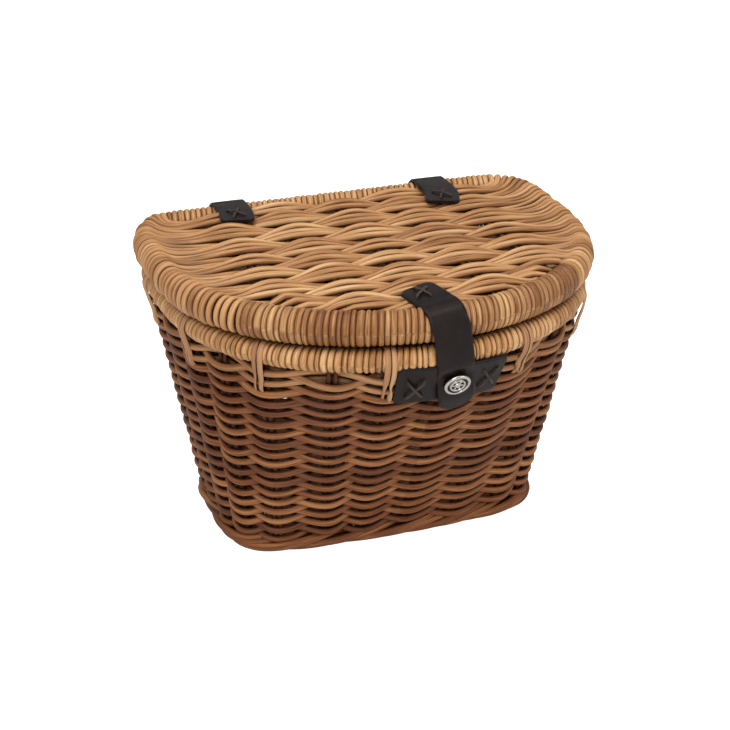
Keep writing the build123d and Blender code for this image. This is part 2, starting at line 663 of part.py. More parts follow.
handlebar_straps = []
buckle_frames = []
buckle_tongues = []
for side_name, x in (("left", -HANDLEBAR_STRAP_X), ("right", HANDLEBAR_STRAP_X)):
    with BuildPart() as handlebar_strap:
        start = Pos(x - HANDLEBAR_STRAP_WIDTH / 2, 0, 0)
        extrude(start * handlebar_strap_side(), amount=HANDLEBAR_STRAP_WIDTH)
        slot_start_y = HANDLEBAR_Y + loop_middle + LEATHER / 2 - SLOT_DEPTH_IN_LOOP
        with BuildSketch(Plane.XZ.offset(-slot_start_y)):
            with Locations((x, sum(STRAP_BUCKLE_SLOT) / 2)):
                Rectangle(2 * TONGUE_SLOT_HALF, STRAP_BUCKLE_SLOT[1] - STRAP_BUCKLE_SLOT[0])
        extrude(amount=-LID_DEPTH, mode=Mode.SUBTRACT)
    handlebar_strap.part.label = "handlebar_strap_" + side_name
    handlebar_straps.append(handlebar_strap.part)

    with BuildPart() as buckle_frame:
        frame_plane = Plane(origin=(x, BUCKLE_Y, HANDLEBAR_Z), x_dir=(1, 0, 0), z_dir=(0, -1, 0))
        corners = [
            (-BUCKLE_HALF_WIDE, -BUCKLE_HALF_TALL),
            (BUCKLE_HALF_WIDE, -BUCKLE_HALF_TALL),
            (BUCKLE_HALF_WIDE, BUCKLE_HALF_TALL),
            (-BUCKLE_HALF_WIDE, BUCKLE_HALF_TALL),
        ]
        for start, end in zip(corners, corners[1:] + corners[:1]):
            a = frame_plane.from_local_coords(Vector(*start))
            b = frame_plane.from_local_coords(Vector(*end))
            add(Solid.make_cylinder(BUCKLE_WIRE, (b - a).length, Plane(origin=a, z_dir=b - a)))
            add(Solid.make_sphere(BUCKLE_WIRE, Plane(a)))
    buckle_frame.part.label = "buckle_frame_" + side_name
    buckle_frames.append(buckle_frame.part)

    tongue_tip_y = BUCKLE_Y + BUCKLE_WIRE + TONGUE_REST_GAP
    with BuildPart() as buckle_tongue:
        with BuildSketch(Plane.YZ.offset(x - TONGUE_WIDTH / 2)):
            with Locations((BUCKLE_Y, buckle_low)):
                Circle(TONGUE_EYE_OUTER)
            with BuildLine():
                Polyline(
                    (BUCKLE_Y, buckle_low),
                    (tongue_tip_y, buckle_high + BUCKLE_WIRE),
                    (tongue_tip_y + TONGUE_THICKNESS, buckle_high + BUCKLE_WIRE),
                    (BUCKLE_Y + TONGUE_EYE_OUTER, buckle_low),
                    close=True,
                )
            make_face()
            with Locations((BUCKLE_Y, buckle_low)):
                Circle(BUCKLE_WIRE + TONGUE_CLEARANCE, mode=Mode.SUBTRACT)
        extrude(amount=TONGUE_WIDTH)
    buckle_tongue.part.label = "buckle_tongue_" + side_name
    buckle_tongues.append(buckle_tongue.part)

# ---- Closure strap and button --------------------------------------------------------------
# The strap is laced to the lid, bends over the front of its rim and hangs to the keeper patch.
# It flexes in front of the lid's rim, so its fixed end and its flap are separate solids here.
STRAP_START_Y = -93
ANCHOR_X = 3
FLAP_X = 11
FLAP_AXIS_Z = 232
FLAP_GAP = 1
FLAP_END_Z = 160
FLAP_CORNER = 12
CLOSURE_LACE_Y = -104
CAP_RADIUS = 10.5
CAP_THICKNESS = 2.5
CAP_RIM = 1.6
CAP_DISH = 0.8
SOCKET_OUTER = 4.2
SOCKET_INNER = 3.3
SOCKET_HOLE_CLEARANCE = 0.1
FLAP_OFF_BUTTON_FACE = 1.2

front_leather_y = -LID_DEPTH / 2 - 1
front_leather_middle = front_leather_y - LEATHER / 2
wall_lean = atan(-wall_slope)
flap_middle_out = FLAP_OFF_BUTTON_FACE + LEATHER / 2
button_out = Vector(0, -cos(wall_lean), -sin(wall_lean))
flap_through = button_face.origin + button_out * flap_middle_out
bend_z = flap_through.Z + (front_leather_middle - flap_through.Y) / wall_slope
flap_end_y = flap_through.Y + (FLAP_END_Z - flap_through.Z) * wall_slope
closure_lace_plane = Plane(origin=(ANCHOR_X, CLOSURE_LACE_Y, TOP_LEATHER_Z + LEATHER), z_dir=(0, 0, 1))

with BuildPart() as closure_strap_anchor:
    anchor_path = [
        (front_leather_middle, FLAP_AXIS_Z + FLAP_GAP + LEATHER / 2),
        (front_leather_middle, top_leather_middle),
        (STRAP_START_Y, top_leather_middle),
    ]
    side_view = bent_strap(anchor_path, LEATHER_BEND + LEATHER / 2)
    extrude(Pos(ANCHOR_X - STRAP_WIDTH / 2, 0, 0) * side_view, amount=STRAP_WIDTH)
    add(lace_holes(closure_lace_plane, LID_LACE_LEG), mode=Mode.SUBTRACT)
closure_strap_anchor.part.label = "closure_strap_anchor"

with BuildPart() as closure_lacing:
    add(lace_cross(closure_lace_plane, LID_LACE_LEG))
closure_lacing.part.label = "closure_lacing"

with BuildPart() as closure_strap_flap:
    flap_path = [
        (front_leather_middle, FLAP_AXIS_Z - FLAP_GAP - LEATHER / 2),
        (front_leather_middle, bend_z),
        (flap_end_y, FLAP_END_Z),
    ]
    side_view = bent_strap(flap_path, LEATHER_BEND)
    extrude(Pos(FLAP_X - STRAP_WIDTH / 2, 0, 0) * side_view, amount=STRAP_WIDTH)
    with BuildSketch(Plane.XZ.offset(LID_DEPTH)):
        with Locations((FLAP_X, FLAP_AXIS_Z)):
            flap_height = FLAP_AXIS_Z - FLAP_END_Z
            RectangleRounded(STRAP_WIDTH, 2 * flap_height, FLAP_CORNER)
    extrude(amount=-LID_DEPTH, mode=Mode.INTERSECT)
    with BuildSketch(button_face):
        Circle(SOCKET_OUTER + SOCKET_HOLE_CLEARANCE)
    extrude(amount=4 * LEATHER, mode=Mode.SUBTRACT)
closure_strap_flap.part.label = "closure_strap_flap"

cap_face = button_face.offset(FLAP_OFF_BUTTON_FACE + LEATHER + RIVET_CLEARANCE)
with BuildPart() as button_cap:
    with BuildSketch(cap_face):
        Circle(CAP_RADIUS)
    extrude(amount=CAP_THICKNESS)
    with BuildSketch(cap_face.offset(CAP_THICKNESS)):
        Circle(CAP_RADIUS - CAP_RIM)
        Circle(CAP_RADIUS - 2.5 * CAP_RIM, mode=Mode.SUBTRACT)
    extrude(amount=-CAP_DISH, mode=Mode.SUBTRACT)
button_cap.part.label = "button_cap"

with BuildPart() as button_socket:
    with BuildSketch(button_face.offset(FLAP_OFF_BUTTON_FACE)):
        Circle(SOCKET_OUTER)
        Circle(SOCKET_INNER, mode=Mode.SUBTRACT)
    extrude(amount=LEATHER + RIVET_CLEARANCE)
button_socket.part.label = "button_socket"

with BuildPart() as lid_weave:
    extrude(plan_face(lid_weave_plan, LID_WEAVE_LOW), amount=LID_WEAVE_HIGH - LID_WEAVE_LOW)
    add(lid_stake_bars(LID_STAKE_RADIUS + STAKE_CLEARANCE), mode=Mode.SUBTRACT)
    for plane in upper_lace_planes + [closure_lace_plane]:
        add(lace_holes(plane, LID_LACE_LEG), mode=Mode.SUBTRACT)
lid_weave.part.label = "lid_weave"

# ---- One STEP file per piece ---------------------------------------------------------------
nodes = [
    foot_border.part,
    base_weave.part,
    base_sticks.part,
    side_stakes.part,
    body_weave.part,
    rim_hoop.part,
    rim_wrapping.part,
    rim_ties.part,
    keeper_patch.part,
    keeper_lacing.part,
    button_stud.part,
    stud_washer.part,
    lid_hoop.part,
    lid_wrapping_front.part,
    lid_wrapping_back.part,
    lid_side_wraps.part,
    lid_stakes.part,
    lid_weave.part,
    hinge_upper_lacing.part,
    hinge_lower_lacing.part,
    closure_strap_anchor.part,
    closure_lacing.part,
    closure_strap_flap.part,
    button_cap.part,
    button_socket.part,
]
nodes += list(upper_leaves.values()) + list(lower_leaves.values())
nodes += handlebar_straps + buckle_frames + buckle_tongues

os.makedirs("parts", exist_ok=True)
for node in nodes:
    export_step(node, "parts/" + node.label + ".step")
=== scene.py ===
import json
import math

import bpy
import numpy as np
from mathutils import Matrix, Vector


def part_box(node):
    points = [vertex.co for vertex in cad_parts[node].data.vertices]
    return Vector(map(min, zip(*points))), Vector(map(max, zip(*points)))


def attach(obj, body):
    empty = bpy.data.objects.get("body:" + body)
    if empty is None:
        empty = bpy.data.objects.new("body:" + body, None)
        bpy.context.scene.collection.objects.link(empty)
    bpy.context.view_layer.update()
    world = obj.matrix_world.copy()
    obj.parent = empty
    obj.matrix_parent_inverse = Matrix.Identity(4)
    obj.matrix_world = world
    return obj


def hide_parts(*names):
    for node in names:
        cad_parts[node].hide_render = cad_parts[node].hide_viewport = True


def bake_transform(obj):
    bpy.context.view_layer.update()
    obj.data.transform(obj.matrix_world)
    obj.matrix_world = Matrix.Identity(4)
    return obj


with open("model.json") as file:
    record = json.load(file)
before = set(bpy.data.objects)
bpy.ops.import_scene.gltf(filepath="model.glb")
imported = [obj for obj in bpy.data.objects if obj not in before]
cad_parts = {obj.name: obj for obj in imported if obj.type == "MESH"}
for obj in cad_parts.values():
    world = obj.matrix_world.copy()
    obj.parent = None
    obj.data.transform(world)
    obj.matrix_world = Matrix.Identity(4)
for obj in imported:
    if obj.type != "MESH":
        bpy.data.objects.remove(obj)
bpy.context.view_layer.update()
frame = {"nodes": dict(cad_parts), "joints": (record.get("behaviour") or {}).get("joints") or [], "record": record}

# A lidded wicker handlebar basket, woven strand by strand round the CAD frame.
# Working lengths are millimetres in the frame's own axes: +Z up, -Y the bowed front.
MM = 0.001
rng = np.random.default_rng(20240611)


def node_box(name):
    """A CAD node's lowest and highest corners in millimetres."""
    low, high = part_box(name)
    return np.array(low) / MM, np.array(high) / MM


def joint_place(name):
    """A point of a joint's axis in millimetres."""
    joint = next(j for j in frame["joints"] if j["name"] == name)
    return np.array(joint["pos_m"]) / MM


# ---- Driving dimensions, from the frame ----
lid_side_high = node_box("lid_side_wraps")[1]
lid_front_low, lid_front_high = node_box("lid_wrapping_front")
lid_back_low, lid_back_high = node_box("lid_wrapping_back")
rim_low, rim_high = node_box("rim_wrapping")
foot_low, foot_high = node_box("foot_border")
wall_low, wall_high = node_box("body_weave")
panel_low, panel_high = node_box("lid_weave")
base_low, base_high = node_box("base_weave")

LID_RIM_TALL = lid_front_high[2] - lid_front_low[2]
LID_RIM_DEEP = lid_back_high[1] - lid_back_low[1]
LID_RIM_Z = (lid_front_high[2] + lid_front_low[2]) / 2
RIM_RADIUS = (rim_high[2] - rim_low[2]) / 2
RIM_Z = (rim_high[2] + rim_low[2]) / 2
FOOT_HEIGHT = foot_high[2]
FOOT_WIDTH = 14.0
WALL_BOTTOM = wall_low[2]
WALL_TOP = wall_high[2]
WALL_REFERENCE = 205.0
PANEL_Z = (panel_low[2] + panel_high[2]) / 2

# Plan outline: (half width, front, back, where the bow ends, corner x, corner y, side power,
# front power)
LID_EDGE = (lid_side_high[0], lid_front_low[1], lid_back_high[1], 51, 38, 61, 1.89, 2.63)
RIM_LINE = (
    rim_high[0] - RIM_RADIUS, rim_low[1] + RIM_RADIUS, rim_high[1] - RIM_RADIUS,
    51, 30, 53, 1.89, 2.63,
)
FOOT_LINE = (
    foot_high[0] - FOOT_WIDTH / 2, foot_low[1] + FOOT_WIDTH / 2, foot_high[1] - FOOT_WIDTH / 2,
    60, 40, 45, 6.3, 6.3,
)

STAKE_SHARES = np.array(sorted(
    [0.039, 0.081, 0.135, 0.173, 0.873, 0.928, 0.988]
    + [0.5 - 0.0225 - 0.0445 * i for i in range(7)]
    + [0.5 + 0.0225 + 0.0445 * i for i in range(8)]
))
LID_STAKE_SPACING = 54.0
LID_STAKE_X = LID_STAKE_SPACING * np.arange(-2, 3)
SIDES_OF_PAIR = (-0.5, 0.5)


# ---- Outlines ----
def unit(v):
    return v / np.maximum(np.linalg.norm(v, axis=-1, keepdims=True), 1e-9)


class Outline:
    """A closed plan outline. A share (0 to 1) of its length starts at the middle of the front and
    grows towards the left side (-X), the back and the right side."""

    DENSE = 400

    def __init__(self, plan, grow=0.0):
        half_width, front, back, bow_end, corner_x, corner_y, side_power, front_power = plan
        half_width, front, back = half_width + grow, front - grow, back + grow
        corner_x, corner_y = corner_x + grow, corner_y + grow
        t = math.pi / 2 * (1 - np.arange(self.DENSE) / self.DENSE)
        bow_x = -half_width * np.cos(t) ** (2 / side_power)
        bow_y = bow_end + (front - bow_end) * np.sin(t) ** (2 / front_power)
        t = math.pi / 2 * np.arange(self.DENSE + 1) / self.DENSE
        corner_xs = -(half_width - corner_x) - corner_x * np.cos(t)
        corner_ys = back - corner_y + corner_y * np.sin(t)
        x = np.concatenate([bow_x, [-half_width], corner_xs, [0.0]])
        y = np.concatenate([bow_y, [bow_end], corner_ys, [back]])
        self.x = np.concatenate([x, -x[::-1][1:]])
        self.y = np.concatenate([y, y[::-1][1:]])
        step = np.hypot(np.diff(self.x), np.diff(self.y))
        self.so_far = np.concatenate([[0.0], np.cumsum(step)])
        self.length = self.so_far[-1]

    def at(self, share):
        """Points (n, 2) at these shares."""
        wanted = np.mod(share, 1.0) * self.length
        x = np.interp(wanted, self.so_far, self.x)
        y = np.interp(wanted, self.so_far, self.y)
        return np.stack([x, y], -1)

    def outward(self, share):
        """Unit outward directions (n, 2) at these shares."""
        step = 0.004
        along = unit(self.at(np.asarray(share) + step) - self.at(np.asarray(share) - step))
        return np.stack([-along[..., 1], along[..., 0]], -1)

    def share_at_x(self, x, back=False):
        """The share of the front, or of the straight back, with this x."""
        shares = np.linspace(0.3, 0.7, 4001) if back else np.linspace(-0.25, 0.25, 4001)
        xs = self.at(shares)[:, 0]
        return float(shares[np.argmin(np.abs(xs - x))])


# The part of an outline's points from the middle of the front to the left side.
FRONT_LEFT = slice(0, Outline.DENSE + 1)
lid_rim_line = Outline(LID_EDGE, -LID_RIM_DEEP / 2)
rim_line = Outline(RIM_LINE)
foot_line = Outline(FOOT_LINE)


def wall_point(share, z, out):
    """Points (n, 3) on the wall at shares and heights, moved outward by a distance."""
    share, z, out = np.broadcast_arrays(np.asarray(share, float), z, out)
    rise = (z / WALL_REFERENCE)[..., None]
    flat = foot_line.at(share) * (1 - rise) + rim_line.at(share) * rise
    normal = wall_outward(share, z)
    place = np.concatenate([flat, z[..., None]], -1)
    return place + normal * out[..., None]


def wall_outward(share, z):
    """Unit outward directions (n, 3) of the wall, tipped down as far as the wall leans out."""
    share, z = np.broadcast_arrays(np.asarray(share, float), z)
    rise = (z / WALL_REFERENCE)[..., None]
    flat = unit(foot_line.outward(share) * (1 - rise) + rim_line.outward(share) * rise)
    lean = ((rim_line.at(share) - foot_line.at(share)) * flat).sum(-1, keepdims=True) / WALL_REFERENCE
    return unit(np.concatenate([flat, -lean], -1))


def smooth_noise(length, step, size):
    """Smooth random values along a line: `length` samples, a new value every `step` samples."""
    knots = rng.normal(0.0, size, max(4, int(length / step) + 3))
    place = np.linspace(0, len(knots) - 1.001, length)
    low = place.astype(int)
    part = place - low
    part = part * part * (3 - 2 * part)
    return knots[low] * (1 - part) + knots[np.minimum(low + 1, len(knots) - 1)] * part


def rounded_path(points, count):
    """A smooth line of `count` points through control points. Columns after the first three are
    carried along."""
    points = np.asarray(points, float)
    lengths = np.maximum(np.linalg.norm(np.diff(points[:, :3], axis=0), axis=1), 1e-6)
    slopes = np.diff(points, axis=0) / lengths[:, None]
    before, after = lengths[:-1, None], lengths[1:, None]
    inner = (slopes[:-1] * after + slopes[1:] * before) / (before + after)
    tangents = np.vstack([slopes[:1], inner, slopes[-1:]])
    knots = np.concatenate([[0.0], np.cumsum(lengths)])
    wanted = np.linspace(0, knots[-1], count)
    index = np.clip(np.searchsorted(knots, wanted, side="right") - 1, 0, len(points) - 2)
    size = lengths[index][:, None]
    t = (wanted - knots[index])[:, None] / size
    a, b = points[index], points[index + 1]
    leave, arrive = tangents[index] * size, tangents[index + 1] * size
    return (a * (2 * t ** 3 - 3 * t ** 2 + 1) + leave * (t ** 3 - 2 * t ** 2 + t)
            + b * (3 * t ** 2 - 2 * t ** 3) + arrive * (t ** 3 - t ** 2))


# ---- Meshes ----
def add_object(name, data):
    thing = bpy.data.objects.new(name, data)
    bpy.context.scene.collection.objects.link(thing)
    return thing


# How far a strand's first and last two rings shrink: (ring, share of its size).
END_TAPER = ((0, 0.05), (1, 0.75))


class Mesh:
    """Gathers vertices, faces and shading attributes, then makes one smooth-shaded object.
    tone: a random value for each strand. grain: (length along, round, round), for streaks.
    shade: painted shade, 1 where none is painted, lower in the grooves between canes."""

    def __init__(self):
        self.verts, self.faces, self.tone, self.grain, self.shade = [], [], [], [], []
        self.count = 0

    def add_grid(self, points, tone=0.0, grain=None, wrap_rows=False, shade=1.0):
        """Rings of points (rows, columns, 3) joined by quads, each ring closed on itself."""
        rows, columns = points.shape[:2]
        index = self.count + np.arange(rows * columns).reshape(rows, columns)
        if wrap_rows:
            index = np.vstack([index, index[:1]])
        index = np.hstack([index, index[:, :1]])
        a, b, c, d = index[:-1, :-1], index[1:, :-1], index[1:, 1:], index[:-1, 1:]
        self.faces.append(np.stack([a, b, c, d], -1).reshape(-1, 4))
        self.verts.append(points.reshape(-1, 3))
        self.tone.append(np.broadcast_to(tone, (rows, columns)).reshape(-1))
        self.grain.append((np.zeros(points.shape) if grain is None else grain).reshape(-1, 3))
        self.shade.append(np.broadcast_to(shade, (rows, columns)).reshape(-1))
        self.count += rows * columns

    def strand(self, path, out, width, thick, tone=None, sides=8, closed=False, flank_shade=0.0):
        """A round or oval strand along a path. `out` is the direction its thickness is measured;
        a flank value darkens its sides with painted shade, where it lies against its neighbours."""
        path = np.asarray(path, float)
        count = len(path)
        if closed:
            along = np.roll(path, -1, 0) - np.roll(path, 1, 0)
        else:
            along = np.gradient(path, axis=0)
        along = unit(along)
        side = unit(np.cross(along, np.broadcast_to(out, path.shape)))
        up = np.cross(side, along)
        width = np.broadcast_to(width, (count,)).astype(float).copy()
        thick = np.broadcast_to(thick, (count,)).astype(float).copy()
        if not closed:
            for k, share in END_TAPER:
                width[k] *= share
                thick[k] *= share
                width[-1 - k] *= share
                thick[-1 - k] *= share
        angle = np.arange(sides) * 2 * math.pi / sides
        ring = (side[:, None] * np.cos(angle)[None, :, None] * width[:, None, None]
                + up[:, None] * np.sin(angle)[None, :, None] * thick[:, None, None]) / 2
        steps = np.linalg.norm(np.diff(path, axis=0), axis=1)
        length = np.concatenate([[0.0], np.cumsum(steps)]) + rng.uniform(0, 5000)
        grain = np.stack([
            np.repeat(length[:, None], sides, 1),
            np.repeat(np.cos(angle)[None], count, 0),
            np.repeat(np.sin(angle)[None], count, 0),
        ], -1)
        if tone is None:
            tone = rng.uniform(-1, 1)
        tone = np.broadcast_to(tone, (count,))[:, None] * np.ones((1, sides))
        flank_shade = np.broadcast_to(flank_shade, (count,))[:, None]
        shade = 1 - flank_shade * np.clip(1.25 - 1.6 * np.sin(angle), 0, 1)[None]
        self.add_grid(path[:, None] + ring, tone, grain, closed, shade)

    def build(self, name, material, body=None, slot=None, *replaced):
        """Makes the object, with the body it rides on and the CAD nodes that it takes the place of.
        The material slot name that it is given is not used."""
        verts = np.concatenate(self.verts) * MM
        faces = np.concatenate(self.faces)
        data = bpy.data.meshes.new(name)
        data.vertices.add(len(verts))
        data.vertices.foreach_set("co", verts.astype(np.float32).ravel())
        data.loops.add(faces.size)
        data.loops.foreach_set("vertex_index", faces.astype(np.int32).ravel())
        data.polygons.add(len(faces))
        data.polygons.foreach_set("loop_start", np.arange(0, faces.size, 4, dtype=np.int32))
        data.polygons.foreach_set("use_smooth", np.ones(len(faces), bool))
        data.update(calc_edges=True)
        data.validate()
        for attribute, kind, field, values in (
            ("tone", "FLOAT", "value", self.tone),
            ("grain", "FLOAT_VECTOR", "vector", self.grain),
            ("shade", "FLOAT", "value", self.shade),
        ):
            layer = data.attributes.new(attribute, kind, "POINT")
            layer.data.foreach_set(field, np.concatenate(values).astype(np.float32).ravel())
        data.materials.append(material)
        piece = add_object(name, data)
        if body:
            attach(piece, body)
        if replaced:
            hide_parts(*replaced)
        return piece


# ---- Materials ----
class Nodes:
    """Short helpers to wire one material's nodes."""

    def __init__(self, name):
        self.material = bpy.data.materials.new(name)
        self.material.use_nodes = True
        self.tree = self.material.node_tree
        self.shader = self.tree.nodes["Principled BSDF"]

    def add(self, kind, **settings):
        node = self.tree.nodes.new(kind)
        for key, value in settings.items():
            setattr(node, key, value)
        return node

    def link(self, source, target):
        self.tree.links.new(source, target)

    def put(self, node, **values):
        """Links or sets a node's inputs, named with underscores for spaces."""
        for key, value in values.items():
            socket = node.inputs[key.replace("_", " ")]
            if isinstance(value, bpy.types.NodeSocket):
                self.link(value, socket)
            else:
                socket.default_value = value

    def attribute(self, name, output="Fac"):
        return self.add("ShaderNodeAttribute", attribute_name=name).outputs[output]

    def scaled(self, vector, scale):
        node = self.add("ShaderNodeVectorMath", operation="MULTIPLY")
        self.link(vector, node.inputs[0])
        node.inputs[1].default_value = scale
        return node.outputs[0]

    def noise(self, vector, scale, detail=2.0, roughness=0.5, distortion=0.0):
        node = self.add("ShaderNodeTexNoise")
        self.put(node, Vector=vector, Scale=scale, Detail=detail)
        self.put(node, Roughness=roughness, Distortion=distortion)
        return node.outputs["Fac"]

    def math(self, operation, *values, clamp=False):
        node = self.add("ShaderNodeMath", operation=operation, use_clamp=clamp)
        for socket, value in zip(node.inputs, values):
            if isinstance(value, bpy.types.NodeSocket):
                self.link(value, socket)
            else:
                socket.default_value = value
        return node.outputs[0]

    def remap(self, value, low, high, to_low, to_high):
        node = self.add("ShaderNodeMapRange")
        self.put(node, Value=value, From_Min=low, From_Max=high, To_Min=to_low, To_Max=to_high)
        return node.outputs["Result"]

    def mix(self, factor, a, b):
        node = self.add("ShaderNodeMix", data_type="RGBA")
        self.put(node, Factor=factor, A=a, B=b)
        return node.outputs["Result"]

    def ramp(self, value, stops):
        node = self.add("ShaderNodeValToRGB")
        self.link(value, node.inputs["Fac"])
        ramp = node.color_ramp
        while len(ramp.elements) < len(stops):
            ramp.elements.new(0.5)
        for element, (place, colour) in zip(ramp.elements, stops):
            element.position = place
            element.color = colour
        return node.outputs["Color"]

    def bump(self, height, strength, distance, normal=None):
        node = self.add("ShaderNodeBump")
        self.put(node, Strength=strength, Distance=distance, Height=height)
        if normal:
            self.put(node, Normal=normal)
        return node.outputs["Normal"]


def srgb(red, green, blue):
    """A colour from 0-255 screen values."""
    def linear(value):
        value /= 255
        return value / 12.92 if value <= 0.04045 else ((value + 0.055) / 1.055) ** 2.4
    return (linear(red), linear(green), linear(blue), 1.0)


# How far the ambient-occlusion probe for the painted shade in the wicker looks, in metres.
SHADE_PROBE_REACH = 0.008


def wicker(name, crevice_shade, dark, middle, light, roughness=0.5, coat=0.15, streak=0.35):
    """Rattan: a tone for each strand, long streaks, brown scars, fine fibres along it and painted
    shade: a dark colour mixed in where strands crowd together."""
    nodes = Nodes(name)
    tone = nodes.attribute("tone")
    grain = nodes.attribute("grain", "Vector")
    streaks = nodes.noise(nodes.scaled(grain, (0.02, 1.1, 1.1)), 1.6, 4.0, 0.6)
    patches = nodes.noise(nodes.scaled(grain, (0.011, 0.25, 0.25)), 1.0, 2.0)
    fibres = nodes.noise(nodes.scaled(grain, (0.05, 4.0, 4.0)), 2.2, 3.0, 0.7)
    scars = nodes.noise(nodes.scaled(grain, (0.035, 0.7, 0.7)), 1.3, 3.0, 0.6, 0.3)
    value = nodes.math("MULTIPLY_ADD", tone, 0.2, 0.5)
    value = nodes.math("ADD", value, nodes.remap(streaks, 0.25, 0.75, -streak, streak))
    value = nodes.math("ADD", value, nodes.remap(patches, 0.3, 0.7, -0.18, 0.18), clamp=True)
    colour = nodes.ramp(value, [(0.0, dark), (0.5, middle), (1.0, light)])
    scar_colour = tuple(c * 0.35 for c in dark[:3]) + (1.0,)
    colour = nodes.mix(nodes.remap(scars, 0.66, 0.8, 0.0, 0.7), colour, scar_colour)
    # Painted shade: an ambient-occlusion probe, times the 'shade' attribute, mixes the dark colour in where
    # strands crowd together.
    shade_probe = nodes.add("ShaderNodeAmbientOcclusion", samples=6)
    nodes.put(shade_probe, Distance=SHADE_PROBE_REACH)
    unshaded_share = nodes.remap(shade_probe.outputs["AO"], 0.12, 0.72, 0.0, 1.0)
    unshaded_share = nodes.math("MULTIPLY", unshaded_share, nodes.attribute("shade"), clamp=True)
    colour = nodes.mix(unshaded_share, crevice_shade, colour)
    rough = nodes.remap(fibres, 0.2, 0.8, roughness - 0.1, roughness + 0.14)
    normal = nodes.bump(fibres, 0.35, 0.0004)
    normal = nodes.bump(streaks, 0.3, 0.0008, normal)
    nodes.put(nodes.shader, Base_Color=colour, Roughness=rough, Normal=normal)
    nodes.put(nodes.shader, Specular_IOR_Level=0.3, Coat_Weight=coat, Coat_Roughness=0.3)
    return nodes.material


def leather(name, base, edge, roughness=0.42):
    """Thick dark leather: a pebbled grain, faint scuffs and a slightly paler worn tone."""
    nodes = Nodes(name)
    place = nodes.add("ShaderNodeTexCoord").outputs["Object"]
    pebble = nodes.add("ShaderNodeTexVoronoi", feature="F1")
    nodes.put(pebble, Vector=place, Scale=900.0)
    worn = nodes.noise(place, 45.0, 5.0, 0.6)
    scuffs = nodes.noise(nodes.scaled(place, (1.0, 1.0, 0.25)), 260.0, 4.0, 0.7)
    colour = nodes.mix(nodes.remap(worn, 0.35, 0.7, 0.0, 0.8), base, edge)
    scuffed = tuple(min(1, c * 2.2) for c in edge)
    colour = nodes.mix(nodes.remap(scuffs, 0.62, 0.8, 0.0, 0.35), colour, scuffed)
    rough = nodes.remap(scuffs, 0.3, 0.75, roughness - 0.06, roughness + 0.16)
    normal = nodes.bump(pebble.outputs["Distance"], 0.25, 0.0003)
    normal = nodes.bump(worn, 0.2, 0.001, normal)
    nodes.put(nodes.shader, Base_Color=colour, Roughness=rough, Specular_IOR_Level=0.22, Normal=normal)
    return nodes.material


def metal(name, colour, roughness):
    """Polished nickel with fine wear and small dull spots."""
    nodes = Nodes(name)
    place = nodes.add("ShaderNodeTexCoord").outputs["Object"]
    spots = nodes.noise(place, 700.0, 4.0, 0.6)
    fine = nodes.noise(nodes.scaled(place, (1.0, 0.2, 1.0)), 2500.0, 2.0)
    dull = tuple(c * 0.6 for c in colour[:3]) + (1.0,)
    worn_colour = nodes.mix(nodes.remap(spots, 0.5, 0.75, 0.0, 0.5), colour, dull)
    rough = nodes.remap(spots, 0.3, 0.75, roughness, roughness + 0.2)
    normal = nodes.bump(fine, 0.08, 0.0002)
    nodes.put(nodes.shader, Base_Color=worn_colour, Metallic=1.0, Roughness=rough, Normal=normal)
    return nodes.material


# Painted shade: the dark colours mixed into each wicker where its strands crowd together.
DEEP_SHADE = srgb(30, 6, 2)
WARM_SHADE = srgb(66, 30, 12)
# The body's wicker is darker than the lid's: partly the cane's own colour, partly painted shade on the side walls,
# which face away from the top light.
BODY_WICKER = wicker(
    "wicker_body", DEEP_SHADE, srgb(74, 34, 12), srgb(126, 72, 34), srgb(182, 124, 74), coat=0.06,
)
LOOSE_WICKER = wicker(
    "wicker_loose", DEEP_SHADE, srgb(100, 58, 28), srgb(154, 104, 62), srgb(196, 148, 102),
    roughness=0.55, coat=0.05,
)
LID_WICKER = wicker(
    "wicker_lid", WARM_SHADE, srgb(128, 78, 38), srgb(192, 138, 86), srgb(226, 182, 130),
    roughness=0.48, coat=0.1, streak=0.42,
)
# One cane in two brightnesses, as painted light and shade: CANE is darker for the lid's front wrapping, which the
# lamps light more; LIGHTER_CANE is lighter for the body rim, which lies in the lid's shadow, and also serves the
# lid's back wrapping.
CANE = wicker(
    "cane_wrapping", WARM_SHADE, srgb(94, 50, 20), srgb(152, 99, 52), srgb(218, 170, 114),
    roughness=0.38, coat=0.2, streak=0.4,
)
LIGHTER_CANE = wicker(
    "cane_wrapping_lighter", WARM_SHADE, srgb(130, 80, 38), srgb(198, 144, 88), srgb(236, 192, 138),
    roughness=0.38, coat=0.2, streak=0.4,
)
TIE_CANE = wicker(
    "cane_tie", WARM_SHADE, srgb(132, 84, 50), srgb(180, 130, 88), srgb(212, 168, 124),
    coat=0.1, streak=0.25,
)
STAKE_WOOD = wicker(
    "wicker_stake", DEEP_SHADE, srgb(48, 22, 8), srgb(86, 46, 22), srgb(120, 74, 42),
    roughness=0.65, coat=0.0,
)
LEATHER = leather("leather", srgb(19, 10, 7), srgb(32, 22, 18), 0.38)
LACE_LEATHER = leather("leather_lace", srgb(48, 37, 32), srgb(82, 68, 60), 0.45)
THREAD = leather("thread", srgb(16, 12, 11), srgb(28, 22, 20), 0.6)
NICKEL = metal("nickel", srgb(200, 197, 189), 0.16)
DARK_METAL = metal("nickel_shadow", srgb(44, 40, 35), 0.35)


# ---- Body wall ----
WEAVER = 5.9
HIDDEN_WIDENING = 0.48
WALL_ROWS = 35
WEAVE_SWING = 4.6
WEAVE_SAG = 1.9
OVER_SAG = 1.1
UNDER_SAG = 0.3
LOOSE_ROWS = 3
WALL_STEPS = 460


